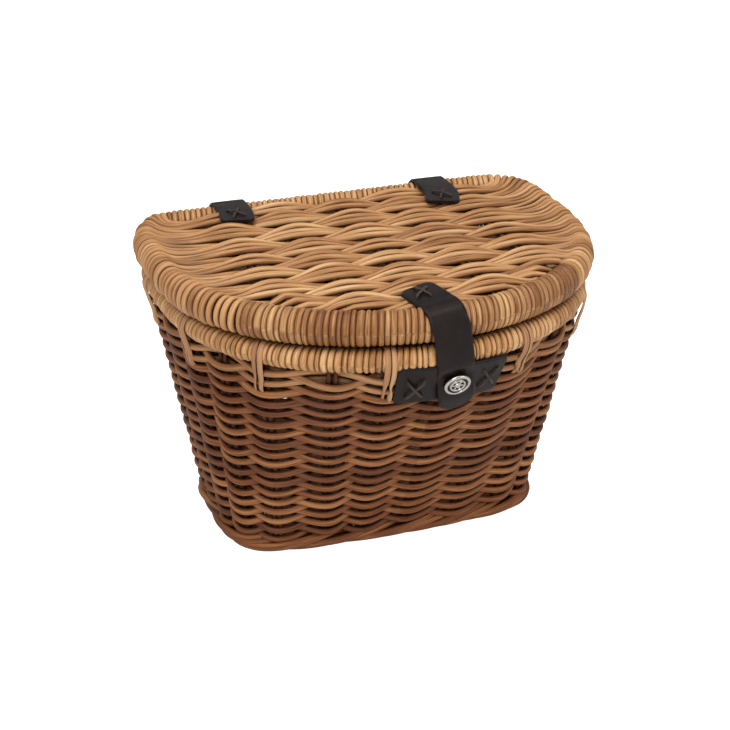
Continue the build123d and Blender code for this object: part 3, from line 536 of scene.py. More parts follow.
def stake_count(share):
    """The running number of stakes passed at a share, smooth between stakes."""
    count = len(STAKE_SHARES)
    places = np.concatenate([STAKE_SHARES[-2:] - 1, STAKE_SHARES, STAKE_SHARES[:2] + 1])
    numbers = np.arange(-2, count + 2)
    return np.interp(np.mod(share, 1.0), places, numbers)


def weave_wave(phase):
    """+1 on top of a stake and -1 behind it, with rounded turns and slanting crossings."""
    return np.cos(phase)


def body_weave():
    tight, loose = Mesh(), Mesh()
    share = np.arange(WALL_STEPS) / WALL_STEPS
    passed = stake_count(share)
    tone = 0.0
    for row in range(WALL_ROWS):
        is_loose = row >= WALL_ROWS - LOOSE_ROWS
        wave = weave_wave(math.pi * (passed + row))
        wobble = smooth_noise(WALL_STEPS, 17, 0.9 if is_loose else 0.42)
        from_joint = np.minimum(np.arange(WALL_STEPS), np.arange(WALL_STEPS)[::-1])
        wobble *= np.minimum(1, from_joint / 12)
        sag = np.maximum(wave, 0) * OVER_SAG + np.minimum(wave, 0) * UNDER_SAG
        sag *= WEAVE_SAG * (1.25 if is_loose else 1)
        height = (row + 0.5) / WALL_ROWS
        z = WALL_BOTTOM + 1.2 + (WALL_TOP - WALL_BOTTOM - 2.6) * height - sag + wobble
        swing = WEAVE_SWING + smooth_noise(WALL_STEPS, 21, 0.25)
        swing[-20:] = np.linspace(swing[-20], swing[0], 20)
        path = wall_point(share, z, wave * swing)
        out = wall_outward(share, np.full(WALL_STEPS, z.mean()))
        if row % 3 == 0 or is_loose:
            tone = rng.uniform(-1, 1)
        size = WEAVER * (1 + rng.normal(0, 0.045))
        width = size * (1 + HIDDEN_WIDENING * np.clip((0.4 - wave) / 1.4, 0, 1))
        strand_tone = np.clip(tone + smooth_noise(WALL_STEPS, 60, 0.35), -1.4, 1.4)
        strand_tone[-20:] = np.linspace(strand_tone[-20], strand_tone[0], 20)
        mesh = loose if is_loose else tight
        # The strands' sides get painted shade where they lie against their neighbours.
        mesh.strand(path, out, width, size * 0.86, strand_tone, sides=12, closed=True, flank_shade=0.3)
    tight.build("body_weave_strands", BODY_WICKER, "basket", "wicker_body", "body_weave")
    loose.build("body_weave_top_strands", LOOSE_WICKER, "basket", "wicker_body")


def side_stakes():
    mesh = Mesh()
    for share in STAKE_SHARES:
        for side in SIDES_OF_PAIR:
            z = np.linspace(3.0, WALL_TOP + 2, 24)
            spread = side * 5.2 / 1000
            path = wall_point(share + spread * np.ones(24), z, smooth_noise(24, 8, 0.2))
            mesh.strand(path, wall_outward(share, 100.0), 4.9, 4.9, sides=8)
    mesh.build("side_stake_rods", STAKE_WOOD, "basket", "wicker_stake", "side_stakes")


# ---- Foot and base ----
ROPE_STRAND = 6.2
FOOT_STROKES = 15


def foot_border():
    """Strands that come out from under the foot one after another, run up across it and tuck in."""
    mesh = Mesh()
    for stroke in range(FOOT_STROKES):
        for pair in range(2):
            start = (stroke + 0.34 * pair + rng.normal(0, 0.04)) / FOOT_STROKES
            t = np.linspace(0, 1, 40)
            share = start - t * 2.5 / FOOT_STROKES
            rise = t * (1.4 - 0.4 * t)
            z = 3.3 + 0.8 * pair + (FOOT_HEIGHT - 1.0) * rise + smooth_noise(40, 14, 0.25)
            out = -5.0 + 12.0 * np.sin(np.clip(t * 1.08 + 0.03, 0, 1) * math.pi) ** 0.8
            out = out + 0.7 * pair
            out[-6:] -= np.linspace(0, 2.5, 6)
            path = wall_point(share, z, out)
            size = ROPE_STRAND * (1 + rng.normal(0, 0.04))
            mesh.strand(path, wall_outward(share, z), size, size, sides=10)
    share = np.arange(240) / 240
    for out, z in ((0.5, 6.4), (-3.2, 4.6), (-1.5, 10.5)):
        path = wall_point(share, np.full(240, z), np.full(240, out))
        mesh.strand(path, wall_outward(share, 5.0), 6.2, 5.6, -0.8, closed=True)
    mesh.build("foot_border_rope", BODY_WICKER, "basket", "wicker_body", "foot_border")


BASE_STICK_Y = (-14, 12, 38, 64, 90)
BASE_WEAVER = 4.6
BASE_PITCH = 5.1
BASE_SWING = 2.8


def base():
    sticks, weave = Mesh(), Mesh()
    inner = Outline(FOOT_LINE, -FOOT_WIDTH / 2 + 2.5)
    middle = (base_low[2] + base_high[2]) / 2 + 0.4
    for stick_y in BASE_STICK_Y:
        reach = np.abs(inner.x[np.argmin(np.abs(inner.y - stick_y) + 1e3 * (inner.x > 0))])
        x = np.linspace(-reach, reach, 40)
        path = np.stack([x, np.full(40, stick_y) + smooth_noise(40, 10, 0.3), np.full(40, middle)], -1)
        sticks.strand(path, (0, 0, 1), 5.8, 5.0)
    rows = int(2 * inner.x.max() / BASE_PITCH)
    sticks_y = np.array([-40.0] + list(BASE_STICK_Y) + [116.0])
    for row in range(rows):
        x = (row - (rows - 1) / 2) * BASE_PITCH
        y = np.linspace(inner.y.min(), inner.y.max(), 64)
        limit = np.interp(np.abs(x), np.abs(inner.x[FRONT_LEFT]), inner.y[FRONT_LEFT])
        y = y[(y > limit) & (y < inner.y.max() - 1.5)]
        if len(y) < 12:
            continue
        wave = np.cos(math.pi * (np.interp(y, sticks_y, np.arange(-1, 6)) + row))
        z = np.maximum(middle + BASE_SWING * wave, BASE_WEAVER / 2 + 0.3)
        path = np.stack([x + smooth_noise(len(y), 12, 0.2), y, z], -1)
        width = 6.3 + 1.2 * np.maximum(-wave, 0)
        weave.strand(path, (0, 0, 1), width, BASE_WEAVER * 0.85)
    sticks.build("base_stick_rods", STAKE_WOOD, "basket", "wicker_stake", "base_sticks")
    weave.build("base_weave_strands", BODY_WICKER, "basket", "wicker_body", "base_weave")


# ---- Wrapped rims ----
CANE_WIDTH = 5.0
CANE_STEPS = (0.0, 0.05, 0.15, 0.3, 0.5, 0.7, 0.85, 0.95)
CANE_BULGE = 1.9
CANE_LEAN = 0.3
RING_STEPS = 28


def wrapped_ring(mesh, outline, centre_z, radius_in, radius_up, start, end):
    """Cane wound side by side round an oval hoop between two shares; each turn bulges and leans.
    Returns the rings of points."""
    turns = max(1, round((end - start) * outline.length / CANE_WIDTH))
    closed = abs(end - start - 1) < 1e-6
    per_turn = len(CANE_STEPS)
    number = np.repeat(np.arange(turns), per_turn)
    within = np.tile(CANE_STEPS, turns)
    if not closed:
        number, within = np.append(number, turns), np.append(within, 0.0)
    edges = np.arange(turns + 1) + np.concatenate([[0.0], rng.normal(0, 0.1, turns - 1), [0.0]])
    place = edges[number] + within * (edges[np.minimum(number + 1, turns)] - edges[number])
    sizes = rng.normal(0, 0.18, turns + 1)
    tones = np.clip(rng.normal(0, 0.32, turns + 1) + smooth_noise(turns + 1, 9, 0.4), -1.5, 1.4)
    leans = CANE_LEAN + rng.normal(0, 0.05, turns + 1)
    if closed:
        sizes[-1], tones[-1], leans[-1] = sizes[0], tones[0], leans[0]
    lean_here = leans[number] * (1 - within) + leans[np.minimum(number + 1, turns)] * within
    angle = np.arange(RING_STEPS) * 2 * math.pi / RING_STEPS
    share = start + (end - start) / turns * (place[:, None] + lean_here[:, None] * np.cos(angle)[None])
    if not closed:
        share = np.clip(share, start, end)
    round_part = np.sqrt(np.maximum(0, 1 - (2 * within - 1) ** 2))
    bulge = CANE_BULGE * (round_part - 1) + (sizes[number] + 0.25) * round_part
    flat, normal = outline.at(share), outline.outward(share)
    reach_in = (radius_in + bulge)[:, None] * np.cos(angle)[None]
    reach_up = (radius_up + bulge)[:, None] * np.sin(angle)[None]
    points = np.concatenate([flat + normal * reach_in[..., None], (centre_z + reach_up)[..., None]], -1)
    round_length = angle * (radius_in + radius_up) / 2
    grain = np.stack([
        round_length[None] + number[:, None] * 97.3,
        np.broadcast_to(within[:, None] * 2, points.shape[:2]),
        np.zeros(points.shape[:2]),
    ], -1)
    # Painted shade: each turn of cane darkens towards its edges, in the grooves between turns.
    shade = np.clip(0.15 + 0.95 * round_part, 0.0, 1.0)[:, None]
    mesh.add_grid(points, tones[number][:, None], grain, closed, shade)
    return points


def end_caps(mesh, points, tone, hole):
    """Closes the two ends of a row of rings with flat discs that leave only a tiny hole."""
    for ring in (points[0], points[-1]):
        centre = ring.mean(0)
        mesh.add_grid(np.stack([ring, centre + (ring - centre) * hole]), tone)


def body_rim():
    mesh = Mesh()
    wrapped_ring(mesh, rim_line, RIM_Z, RIM_RADIUS, RIM_RADIUS, 0.0, 1.0)
    mesh.build("rim_wrapping_cane", LIGHTER_CANE, "basket", "cane_wrapping", "rim_wrapping", "rim_hoop")


FRONT_WRAP_LEFT = 0.148
FRONT_WRAP_RIGHT = 0.131
BACK_WRAP_X = 147.0


def lid_wrappings():
    front, back = Mesh(), Mesh()
    half_deep, half_tall = LID_RIM_DEEP / 2, LID_RIM_TALL / 2
    section = (LID_RIM_Z, half_deep, half_tall)
    points = wrapped_ring(front, lid_rim_line, *section, -FRONT_WRAP_RIGHT, FRONT_WRAP_LEFT)
    end_caps(front, points, -1.0, 0.05)
    left = lid_rim_line.share_at_x(-BACK_WRAP_X, back=True)
    points = wrapped_ring(back, lid_rim_line, *section, left, 1 - left)
    end_caps(back, points, -1.0, 0.05)
    front.build("lid_wrapping_front_cane", CANE, "lid", "cane_wrapping", "lid_wrapping_front")
    back.build("lid_wrapping_back_cane", LIGHTER_CANE, "lid", "cane_wrapping", "lid_wrapping_back")


def lid_hoop():
    """The bare hoop, seen only between the weavers that wrap round it at the sides."""
    mesh = Mesh()
    share = np.arange(240) / 240
    flat = lid_rim_line.at(share)
    path = np.concatenate([flat, np.full((240, 1), LID_RIM_Z)], -1)
    mesh.strand(path, (0, 0, 1), LID_RIM_DEEP - 7, LID_RIM_TALL - 7, -0.9, sides=16, closed=True)
    mesh.build("lid_hoop_rod", STAKE_WOOD, "lid", "wicker_stake", "lid_hoop")


# ---- Rim ties ----
TIE_WIDTH = 4.6
TIE_THICK = 2.0
TIE_DROP = 36.0
LOOSE_TIE = 18
LOOSE_STAND_OFF = 1.8


def rim_ties():
    mesh = Mesh()
    for number, share in enumerate(STAKE_SHARES[::2]):
        slant = rng.normal(0, 2.0)
        for side in SIDES_OF_PAIR:
            drop = TIE_DROP * (1 + rng.normal(0, 0.05))
            shift = side * (TIE_WIDTH + 0.3) / rim_line.length
            spread = (side * rng.uniform(-1.5, 0.5) + slant) / rim_line.length
            stand_off = LOOSE_STAND_OFF if number * 2 == LOOSE_TIE else 0.0
            radius = RIM_RADIUS + 0.6
            lengthwise = [
                (-2.0, -drop), (-8.5, -drop + 4), (-radius, -drop / 2), (-radius, 0),
                (-radius * 0.7, radius * 0.7), (0, radius), (radius * 0.7, radius * 0.7), (radius, 0),
                (radius - 1.8 + stand_off * 0.6, -RIM_RADIUS), (7.0 + stand_off, -drop * 0.58),
                (7.0 + stand_off * 0.6, -drop * 0.84), (3.5, -drop),
            ]
            points = []
            for out, up in lengthwise:
                z = RIM_Z + up
                slide = share + shift - spread * min(0.0, up) / drop
                if up >= -RIM_RADIUS:
                    flat = rim_line.at(slide) + rim_line.outward(slide) * out
                    points.append((flat[0], flat[1], z))
                else:
                    points.append(tuple(wall_point(slide, z, out)))
            path = rounded_path(points, 56)
            centre = np.append(rim_line.at(share), RIM_Z - drop * 0.35)
            away = path - centre
            away[:, 2] *= 0.25
            tone = rng.uniform(-0.6, 1)
            mesh.strand(path, unit(away), TIE_WIDTH, TIE_THICK, tone, sides=10)
    mesh.build("rim_tie_canes", TIE_CANE, "basket", "cane_tie", "rim_ties")


# ---- Lid panel ----
LID_WEAVER = 5.5
LID_ROWS = 42
LID_SWING = 4.4
LID_FAN = 2.0
LID_CLIMB = 1.2
LID_OVER_WIDENING = 0.14
LID_UNDER_WIDENING = 0.5
SIDE_REACH = 26.0
HOOP_TURN = (124, 104, 82, 58, 30, 0, -30, -60, -90, -118, -142)


def hoop_turn(side, share, spacing, lift):
    """A weaver's end wound once round the lid's hoop: points and outward directions."""
    half_deep = LID_RIM_DEEP / 2 - LID_WEAVER / 2 + 0.4 + lift
    half_tall = LID_RIM_TALL / 2 - LID_WEAVER / 2 + 0.4 + lift
    turn = []
    for degrees in HOOP_TURN:
        angle = math.radians(degrees)
        slide = share + spacing * 0.8 * (HOOP_TURN[1] - degrees) / (HOOP_TURN[1] - HOOP_TURN[-1])
        slide = slide if side == "left" else 1 - slide
        away = lid_rim_line.outward(slide) * math.cos(angle)
        spot = lid_rim_line.at(slide) + away * half_deep
        z = LID_RIM_Z + half_tall * math.sin(angle)
        turn.append((spot[0], spot[1], z, away[0], away[1], math.sin(angle)))
    return np.array(turn)


def lid_panel():
    panel = Mesh()
    front_y = lid_rim_line.y.min() + LID_RIM_DEEP / 2 + 1.5
    back_y = lid_rim_line.y.max() - LID_RIM_DEEP / 2 - 1.5
    pitch = (back_y - front_y) / (LID_ROWS - 1)
    rows_y = front_y + pitch * np.arange(LID_ROWS)
    starts = {"left": FRONT_WRAP_LEFT, "right": FRONT_WRAP_RIGHT}
    back_share = lid_rim_line.share_at_x(-BACK_WRAP_X, back=True)
    stakes = LID_STAKE_SPACING * np.arange(-3, 4)
    wrap_rows = {}
    for side, start in starts.items():
        corner_y = lid_rim_line.at(start)[1]
        wrap_rows[side] = [i for i in range(LID_ROWS) if rows_y[i] > corner_y + 2]
    inner = Outline(LID_EDGE, -LID_RIM_DEEP + 3.0)
    groups = []
    while len(groups) < LID_ROWS:
        number = groups[-1][0] + 1 if groups else 0
        members = int(rng.choice([2, 2, 3, 3, 3]))
        groups += [(number, member - (members - 1) / 2) for member in range(members)]
    tone = 0.0
    for row in range(LID_ROWS):
        group, place = groups[row]
        if row % 2 == 0:
            tone = rng.uniform(-1, 1)
        y = rows_y[row]
        size = LID_WEAVER * (1 + rng.normal(0, 0.05))
        swing = LID_SWING + rng.normal(0, 0.25)
        reach = {}
        for side in starts:
            limit = np.interp(y, inner.y[FRONT_LEFT], np.abs(inner.x[FRONT_LEFT]))
            reach[side] = LID_STAKE_X[-1] + SIDE_REACH if row in wrap_rows[side] else limit
        x = np.linspace(-reach["left"], reach["right"], 120)
        wave = weave_wave(math.pi * (np.interp(x, stakes, np.arange(-1, 6)) + group))
        shift = smooth_noise(120, 13, 0.4)
        fan = LID_FAN * place * wave ** 2
        z = PANEL_Z + 0.4 + swing * wave + LID_CLIMB * place * np.maximum(wave, 0)
        for side, end in (("left", -reach["left"]), ("right", reach["right"])):
            if row not in wrap_rows[side]:
                near = np.clip(1 - np.abs(x - end) / 14, 0, 1)
                z = z * (1 - near) + (PANEL_Z - 1.0) * near
        up = np.tile((0.0, 0.0, 1.0), (120, 1))
        line = np.concatenate([np.stack([x, y + shift + fan, z], -1), up], -1)
        for side in starts:
            if row not in wrap_rows[side]:
                continue
            part = (wrap_rows[side].index(row) + 0.5) / len(wrap_rows[side])
            spacing = (back_share - starts[side]) / len(wrap_rows[side])
            share = starts[side] + (back_share - starts[side]) * part
            turn = hoop_turn(side, share, spacing, rng.uniform(-0.5, 0.7))
            line = np.vstack([turn[::-1], line[6:]]) if side == "left" else np.vstack([line[:-6], turn])
        line = rounded_path(line, 230)
        wound = np.clip((np.abs(line[:, 0]) - LID_STAKE_X[-1] - 22) / 14, 0, 1)
        rise = np.clip((line[:, 2] - PANEL_Z) / LID_SWING, -1, 1) * (1 - wound)
        widening = np.where(rise < 0, LID_UNDER_WIDENING, LID_OVER_WIDENING) * rise ** 2
        width = size * (1 + 0.1 * wound + widening)
        strand_tone = np.clip(tone + smooth_noise(len(line), 50, 0.4), -1.4, 1.4)
        path, out = line[:, :3], unit(line[:, 3:])
        # Painted shade on the strands' sides, stronger where they wind round the hoop.
        flank_shade = 0.5 + 0.3 * wound
        panel.strand(path, out, width, size * 0.92, strand_tone, sides=12, flank_shade=flank_shade)
    panel.build("lid_weave_strands", LID_WICKER, "lid", "wicker_lid", "lid_weave", "lid_side_wraps")


def lid_stakes():
    mesh = Mesh()
    for x in LID_STAKE_X:
        share = lid_rim_line.share_at_x(x)
        front = lid_rim_line.at(share)[1] + 6
        for side in SIDES_OF_PAIR:
            y = np.linspace(front, lid_rim_line.y.max() - 6, 30)
            rod_x = x + side * 5.0 + smooth_noise(30, 10, 0.2)
            path = np.stack([rod_x, y, np.full(30, PANEL_Z)], -1)
            mesh.strand(path, (0, 0, 1), 4.6, 4.6)
    mesh.build("lid_stake_rods", STAKE_WOOD, "lid", "wicker_stake", "lid_stakes")


# ---- Leather ----
STRAP_THICK = 2.6
EDGE_SHARE = 0.34
GROOVE_DEPTH = 0.28
GROOVE_WIDTH = 0.5
STITCH_INSET = 2.6
STITCH_LENGTH = 3.0
STITCH_PITCH = 4.2
STITCH_DIP = (-0.35, 0.08, 0.08, 0.08, 0.08, -0.35)


def strap(name, centre, across, width, thick, end_round=(0.0, 0.0), stitches=True):
    """A leather strap along a centre line. `across` is its width direction at each point; its ends
    are rounded by the two radii. The cross-section has soft edges and a shallow stitch groove."""
    mesh = Mesh()
    along = unit(np.gradient(centre, axis=0))
    across = unit(across - along * (across * along).sum(-1, keepdims=True))
    face = np.cross(across, along)
    steps = np.linalg.norm(np.diff(centre, axis=0), axis=1)
    so_far = np.concatenate([[0.0], np.cumsum(steps)])
    total = so_far[-1]
    half = np.full(len(centre), width / 2)
    for radius, distance in ((end_round[0], so_far), (end_round[1], total - so_far)):
        if radius > 0:
            inside = distance < radius
            pull = radius - np.sqrt(np.maximum(0, radius ** 2 - (radius - distance) ** 2))
            half = np.where(inside, np.minimum(half, width / 2 - pull), half)
    edge = thick * EDGE_SHARE
    across_place = np.linspace(-1, 1, 25)[None] * half[:, None]
    from_edge = half[:, None] - np.abs(across_place)
    lift = thick / 2 - edge * np.clip(1 - from_edge / edge, 0, 1) ** 2
    flat = centre[:, None] + across[:, None] * across_place[..., None]
    grooved = lift - GROOVE_DEPTH * np.exp(-((from_edge - STITCH_INSET) / GROOVE_WIDTH) ** 2)
    upper = flat + face[:, None] * grooved[..., None]
    lower = flat - face[:, None] * lift[..., None]
    ring = np.concatenate([upper, lower[:, ::-1]], 1)
    mesh.add_grid(ring)
    end_caps(mesh, ring, 0.0, 0.02)
    piece = mesh.build(name, LEATHER)
    if stitches:
        thread = Mesh()
        for start in np.arange(5.0, total - 5.0, STITCH_PITCH):
            if np.interp(start, so_far, half) < width / 2 - 2:
                continue
            place = np.linspace(start, start + STITCH_LENGTH, 6)
            mid, cross, normal = (
                np.stack([np.interp(place, so_far, line[:, k]) for k in range(3)], -1)
                for line in (centre, across, face)
            )
            inset = np.interp(place, so_far, half)[:, None] - STITCH_INSET
            height = thick / 2 + np.array(STITCH_DIP)[:, None]
            for side in (-1, 1):
                path = mid + cross * side * inset + normal * height
                thread.strand(path, face[np.searchsorted(so_far, start)], 0.7, 0.6, sides=6)
        thread_piece = thread.build(name + "_stitches", THREAD)
        return [piece, thread_piece]
    return [piece]


def bend_between(pieces):
    for piece in pieces:
        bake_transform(piece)


LACE_WIDTH = 2.5
LACE_THICK = 1.5
LACE_LIFT = 1.0


def lace_cross(mesh, centre, normal, right, length=21.0, angle=34.0):
    """A crossed leather thong: one strip over the other, both tucked down at their ends."""
    normal, right = unit(np.array(normal, float)), unit(np.array(right, float))
    forward = np.cross(normal, right)
    for number, sign in enumerate((-1, 1)):
        turn = math.radians(90 + sign * angle)
        line = right * math.cos(turn) + forward * math.sin(turn)
        t = np.linspace(-1, 1, 22)
        height = LACE_LIFT + (0.9 if number else 0.0) * np.exp(-(t / 0.22) ** 2) - 2.6 * np.abs(t) ** 10
        path = np.array(centre) + line * (t * length / 2)[:, None] + normal * height[:, None]
        mesh.strand(path, normal, LACE_WIDTH, LACE_THICK, sides=10)


# (side, how far the strap slants on the lid, where its front end lies past the CAD leaf)
HINGE_STRAPS = (("left", -0.18, -3.0), ("right", -0.34, -15.0))


def hinge_straps():
    laces_lid, laces_basket = Mesh(), Mesh()
    lower_low, lower_high = node_box("hinge_lower_leaf_left")
    axis = joint_place("lid_hinge")
    thick = STRAP_THICK
    for side, skew, reach in HINGE_STRAPS:
        low, high = node_box("hinge_upper_leaf_" + side)
        x = (low[0] + high[0]) / 2
        top_z = high[2] - thick / 2
        back_y = lower_high[1] - thick / 2
        end_y = low[1] + reach
        points = [
            (x - 1, back_y, lower_low[2]), (x - 1, back_y, axis[2] - 14), (x - 1, back_y, axis[2]),
            (x - 1, back_y - 0.2, axis[2] + 12), (x - 1, back_y - 3.0, top_z - 4.5),
            (x - 1, back_y - 9, top_z - 0.5), (x - 1, back_y - 18, top_z + 0.3),
            (x + skew * 10, end_y + 18, top_z + 0.6), (x + skew * 30, end_y, top_z + 0.4),
        ]
        centre = rounded_path(points, 90)
        on_top = np.clip((back_y - 8 - centre[:, 1]) / 12, 0, 1)
        across = np.stack([np.ones(90), skew * on_top, np.zeros(90)], -1)
        pieces = strap("hinge_strap_" + side, centre, -across, 29.0, thick, (5.0, 5.0), stitches=False)
        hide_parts("hinge_upper_leaf_" + side, "hinge_lower_leaf_" + side)
        bend_between(pieces)
        on_lid = (x + skew * 14, end_y + 15, top_z + thick / 2 + 0.9)
        lace_cross(laces_lid, on_lid, (0, 0, 1), (1, 0.1, 0))
        on_wall = (x - 1, back_y + thick / 2 + 0.2, lower_low[2] + 15)
        lace_cross(laces_basket, on_wall, (0, 1, 0), (-1, 0, 0))
    for laces, half, body in ((laces_lid, "upper", "lid"), (laces_basket, "lower", "basket")):
        name = "hinge_" + half
        laces.build(name + "_thongs", LACE_LEATHER, body, "leather_lace", name + "_lacing")


def closure_strap():
    thick = STRAP_THICK
    flap_low, flap_high = node_box("closure_strap_flap")
    anchor_high = node_box("closure_strap_anchor")[1]
    cap_low, cap_high = node_box("button_cap")
    cap = (cap_low + cap_high) / 2
    axis = joint_place("closure_flap_hinge")
    top_z = anchor_high[2] - thick / 2
    front_y = axis[1] + thick / 2
    end_z = flap_low[2]
    end_y = flap_high[1] - thick / 2 - 1
    under_cap = np.array([cap[0], cap[1] + 2.8, cap[2]])
    points = [
        (-8.5, anchor_high[1] - 1, top_z + 0.3), (-5.5, anchor_high[1] - 16, top_z + 0.6),
        (-3.0, front_y + 20, top_z + 0.3), (-1.0, front_y + 11, top_z - 0.4),
        (0.6, front_y + 4.2, top_z - 3.8),
        (2.0, front_y + 0.4, top_z - 11), (3.6, front_y - 0.2, axis[2] + 4),
        (5.4, front_y, axis[2] - 6), (7.6, front_y + 0.6, 214.0), (9.6, front_y + 2.4, 203.0),
        (11.2, under_cap[1] - 0.6, 193.0), (12.3, under_cap[1] + 0.2, cap[2]),
        (14.4, under_cap[1] + 2.6, 174.0), (16.6, end_y - 0.6, end_z),
    ]
    centre = rounded_path(points, 150)
    along = unit(np.gradient(centre, axis=0))
    across = np.tile(np.array([1.0, 0.0, 0.0]), (150, 1))
    across[:, 2] = 0.14
    across = unit(across - along * (across * along).sum(-1, keepdims=True))
    pieces = strap("closure_strap", centre, across, 30.0, thick, (6.0, 13.0))
    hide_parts("closure_strap_anchor", "closure_strap_flap")
    bend_between(pieces)
    lace = Mesh()
    lace_cross(lace, (-7.0, anchor_high[1] - 13, top_z + thick / 2 + 0.9), (0, 0, 1), (1, -0.2, 0))
    lace.build("closure_thong", LACE_LEATHER, "lid", "leather_lace", "closure_lacing")


PATCH_OUT = 8.6
PATCH_LIFT = 3.5
PATCH_LEAN = 0.15


def keeper_patch():
    low, high = node_box("keeper_patch")
    thick = 2.4
    bottom, top = low[2] + 2, high[2] + 6
    middle_z = (bottom + top) / 2
    shares = np.linspace(foot_share(low[0], middle_z), foot_share(high[0], middle_z), 60)
    centre = wall_point(shares, middle_z, PATCH_OUT)
    centre[:, 2] += np.linspace(PATCH_LIFT, 0, 60)
    across = wall_point(shares, middle_z + 5, PATCH_OUT) - wall_point(shares, middle_z - 5, PATCH_OUT)
    across[:, 0] = across[:, 2] * PATCH_LEAN
    pieces = strap("keeper_patch_leather", centre, across, top - bottom, thick, (4.0, 4.0))
    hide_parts("keeper_patch")
    lace = Mesh()
    for x in (-20.0, 41.0):
        share = foot_share(x, middle_z)
        spot = wall_point(share, middle_z, PATCH_OUT + thick / 2 + 0.3)
        spot[2] += np.interp(share, (shares[0], shares[-1]), (PATCH_LIFT, 0))
        normal = wall_outward(share, middle_z)
        lace_cross(lace, spot, normal, np.cross((0, 0, 1.0), normal), 25.0, 36.0)
    lace.build("keeper_thongs", LACE_LEATHER, "basket", "leather_lace", "keeper_lacing")
    for piece in pieces:
        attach(piece, "basket")


def foot_share(x, z):
    """The share of the wall's front that has this x at height z."""
    shares = np.linspace(-0.12, 0.12, 1201)
    xs = wall_point(shares, np.full(1201, z), np.full(1201, 8.0))[:, 0]
    return float(shares[np.argmin(np.abs(xs - x))])


LATHE_STEPS = 64


def lathe(mesh, centre, axis, profile):
    """A turned shape: profile is (radius, height) along the axis."""
    axis = unit(np.array(axis, float))
    side = unit(np.cross(axis, (0.0, 0.0, 1.0)))
    other = np.cross(axis, side)
    angle = np.arange(LATHE_STEPS) * 2 * math.pi / LATHE_STEPS
    spokes = side * np.cos(angle)[:, None] + other * np.sin(angle)[:, None]
    profile = np.array(profile, float)
    points = (np.array(centre) + axis * profile[:, 1][:, None, None]
              + spokes[None] * profile[:, 0][:, None, None])
    mesh.add_grid(points)


def button():
    low, high = node_box("button_cap")
    centre = (low + high) / 2
    slope = (RIM_LINE[1] - FOOT_LINE[1]) / WALL_REFERENCE
    axis = unit(np.array([0.0, -1.0, slope]))
    base_spot = centre - axis * 1.2
    cap = Mesh()
    profile = [
        (10.2, -0.4), (10.7, 0.1), (10.8, 0.8), (10.4, 1.5), (9.7, 1.9), (8.9, 1.9), (8.3, 1.5),
        (8.1, 0.9), (8.0, 0.6), (6.9, 0.6), (6.7, 1.0), (6.4, 1.7), (5.9, 2.1), (5.4, 2.1),
        (5.0, 1.8), (4.7, 1.2), (3.0, 1.1), (2.6, 1.3), (2.2, 2.0), (1.4, 2.4), (0.05, 2.5),
    ]
    smooth = rounded_path(np.array([(r, h, 0) for r, h in profile]), 110)[:, :2]
    lathe(cap, base_spot, axis, smooth)
    side = unit(np.cross(axis, (0.0, 0.0, 1.0)))
    other = np.cross(axis, side)
    for petal in range(6):
        turn = petal * math.pi / 3
        ray = side * math.cos(turn) + other * math.sin(turn)
        path = base_spot + ray * np.linspace(2.4, 4.9, 10)[:, None] + axis * 1.25
        cap.strand(path, axis, 1.5 * np.sin(np.linspace(0.3, math.pi - 0.3, 10)) + 0.2, 1.1, sides=8)
    cap.build("button_cap_turned", NICKEL, "closure_flap", "nickel", "button_cap")
    groove = Mesh()
    lathe(groove, base_spot, axis, [(8.4, 1.62), (8.15, 0.7), (6.75, 0.7), (6.5, 1.62)])
    lathe(groove, base_spot, axis, [(5.1, 1.9), (4.75, 1.3), (2.7, 1.22)])
    groove.build("button_grooves", DARK_METAL, "closure_flap", "nickel")


def handlebar_straps():
    for side in ("left", "right"):
        low, high = node_box("handlebar_strap_" + side)
        x = (low[0] + high[0]) / 2
        width = high[0] - low[0]
        mount = next(m for m in frame["record"]["mounts"] if m["name"] == "handlebar_clamp_" + side)
        y, z = np.array(mount["pos_m"][1:]) / MM
        thick = STRAP_THICK
        radius = mount["dims"]["r_mm"] + thick / 2

        def arc(*degrees):
            angles = [math.radians(value) for value in degrees]
            return [(x, y + radius * math.cos(a), z + radius * math.sin(a)) for a in angles]

        inside = low[1] + thick / 2
        tail_y = high[1] - thick / 2
        frame_low = node_box("buckle_frame_" + side)[0]
        points = [(x, y + 3, z + radius)]
        points += [(x, y + dy, z + radius) for dy in (-8, -20)]
        points += [(x, inside + dy, z + radius - dz) for dy, dz in ((5, 0), (1, 3), (0, 8))]
        points += [(x, inside + dy, z - radius + dz) for dy, dz in ((0, 8), (1, 3), (5, 0))]
        points += [(x, y - 20, z - radius), (x, y - 8, z - radius)] + arc(-90, -60, -30, 0)
        centre = rounded_path(points, 120)
        across = np.tile(np.array([1.0, 0.0, 0.0]), (120, 1))
        loop = strap("handlebar_strap_loop_" + side, centre, across, width, thick, stitches=False)
        points = arc(100, 70, 45, 20) + [(x, tail_y - 2.2, z - 4), (x, tail_y, frame_low[2] + 1)]
        points += [(x, tail_y, z - 28), (x, tail_y - 0.4, low[2])]
        centre = rounded_path(points, 90)
        name = "handlebar_strap_tail_" + side
        tail = strap(name, centre, across[:90], width - 1, thick, (0.0, 9.0), stitches=False)
        for piece in loop + tail:
            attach(piece, "basket")
        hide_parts("handlebar_strap_" + side)


def repaint_kept_nodes():
    """The CAD nodes that stay get the metal finish."""
    buckles = ["buckle_" + part + side for part in ("frame_", "tongue_") for side in ("left", "right")]
    for name in ["button_stud", "stud_washer", "button_socket"] + buckles:
        node = frame["nodes"][name]
        node.data.materials.clear()
        node.data.materials.append(NICKEL)


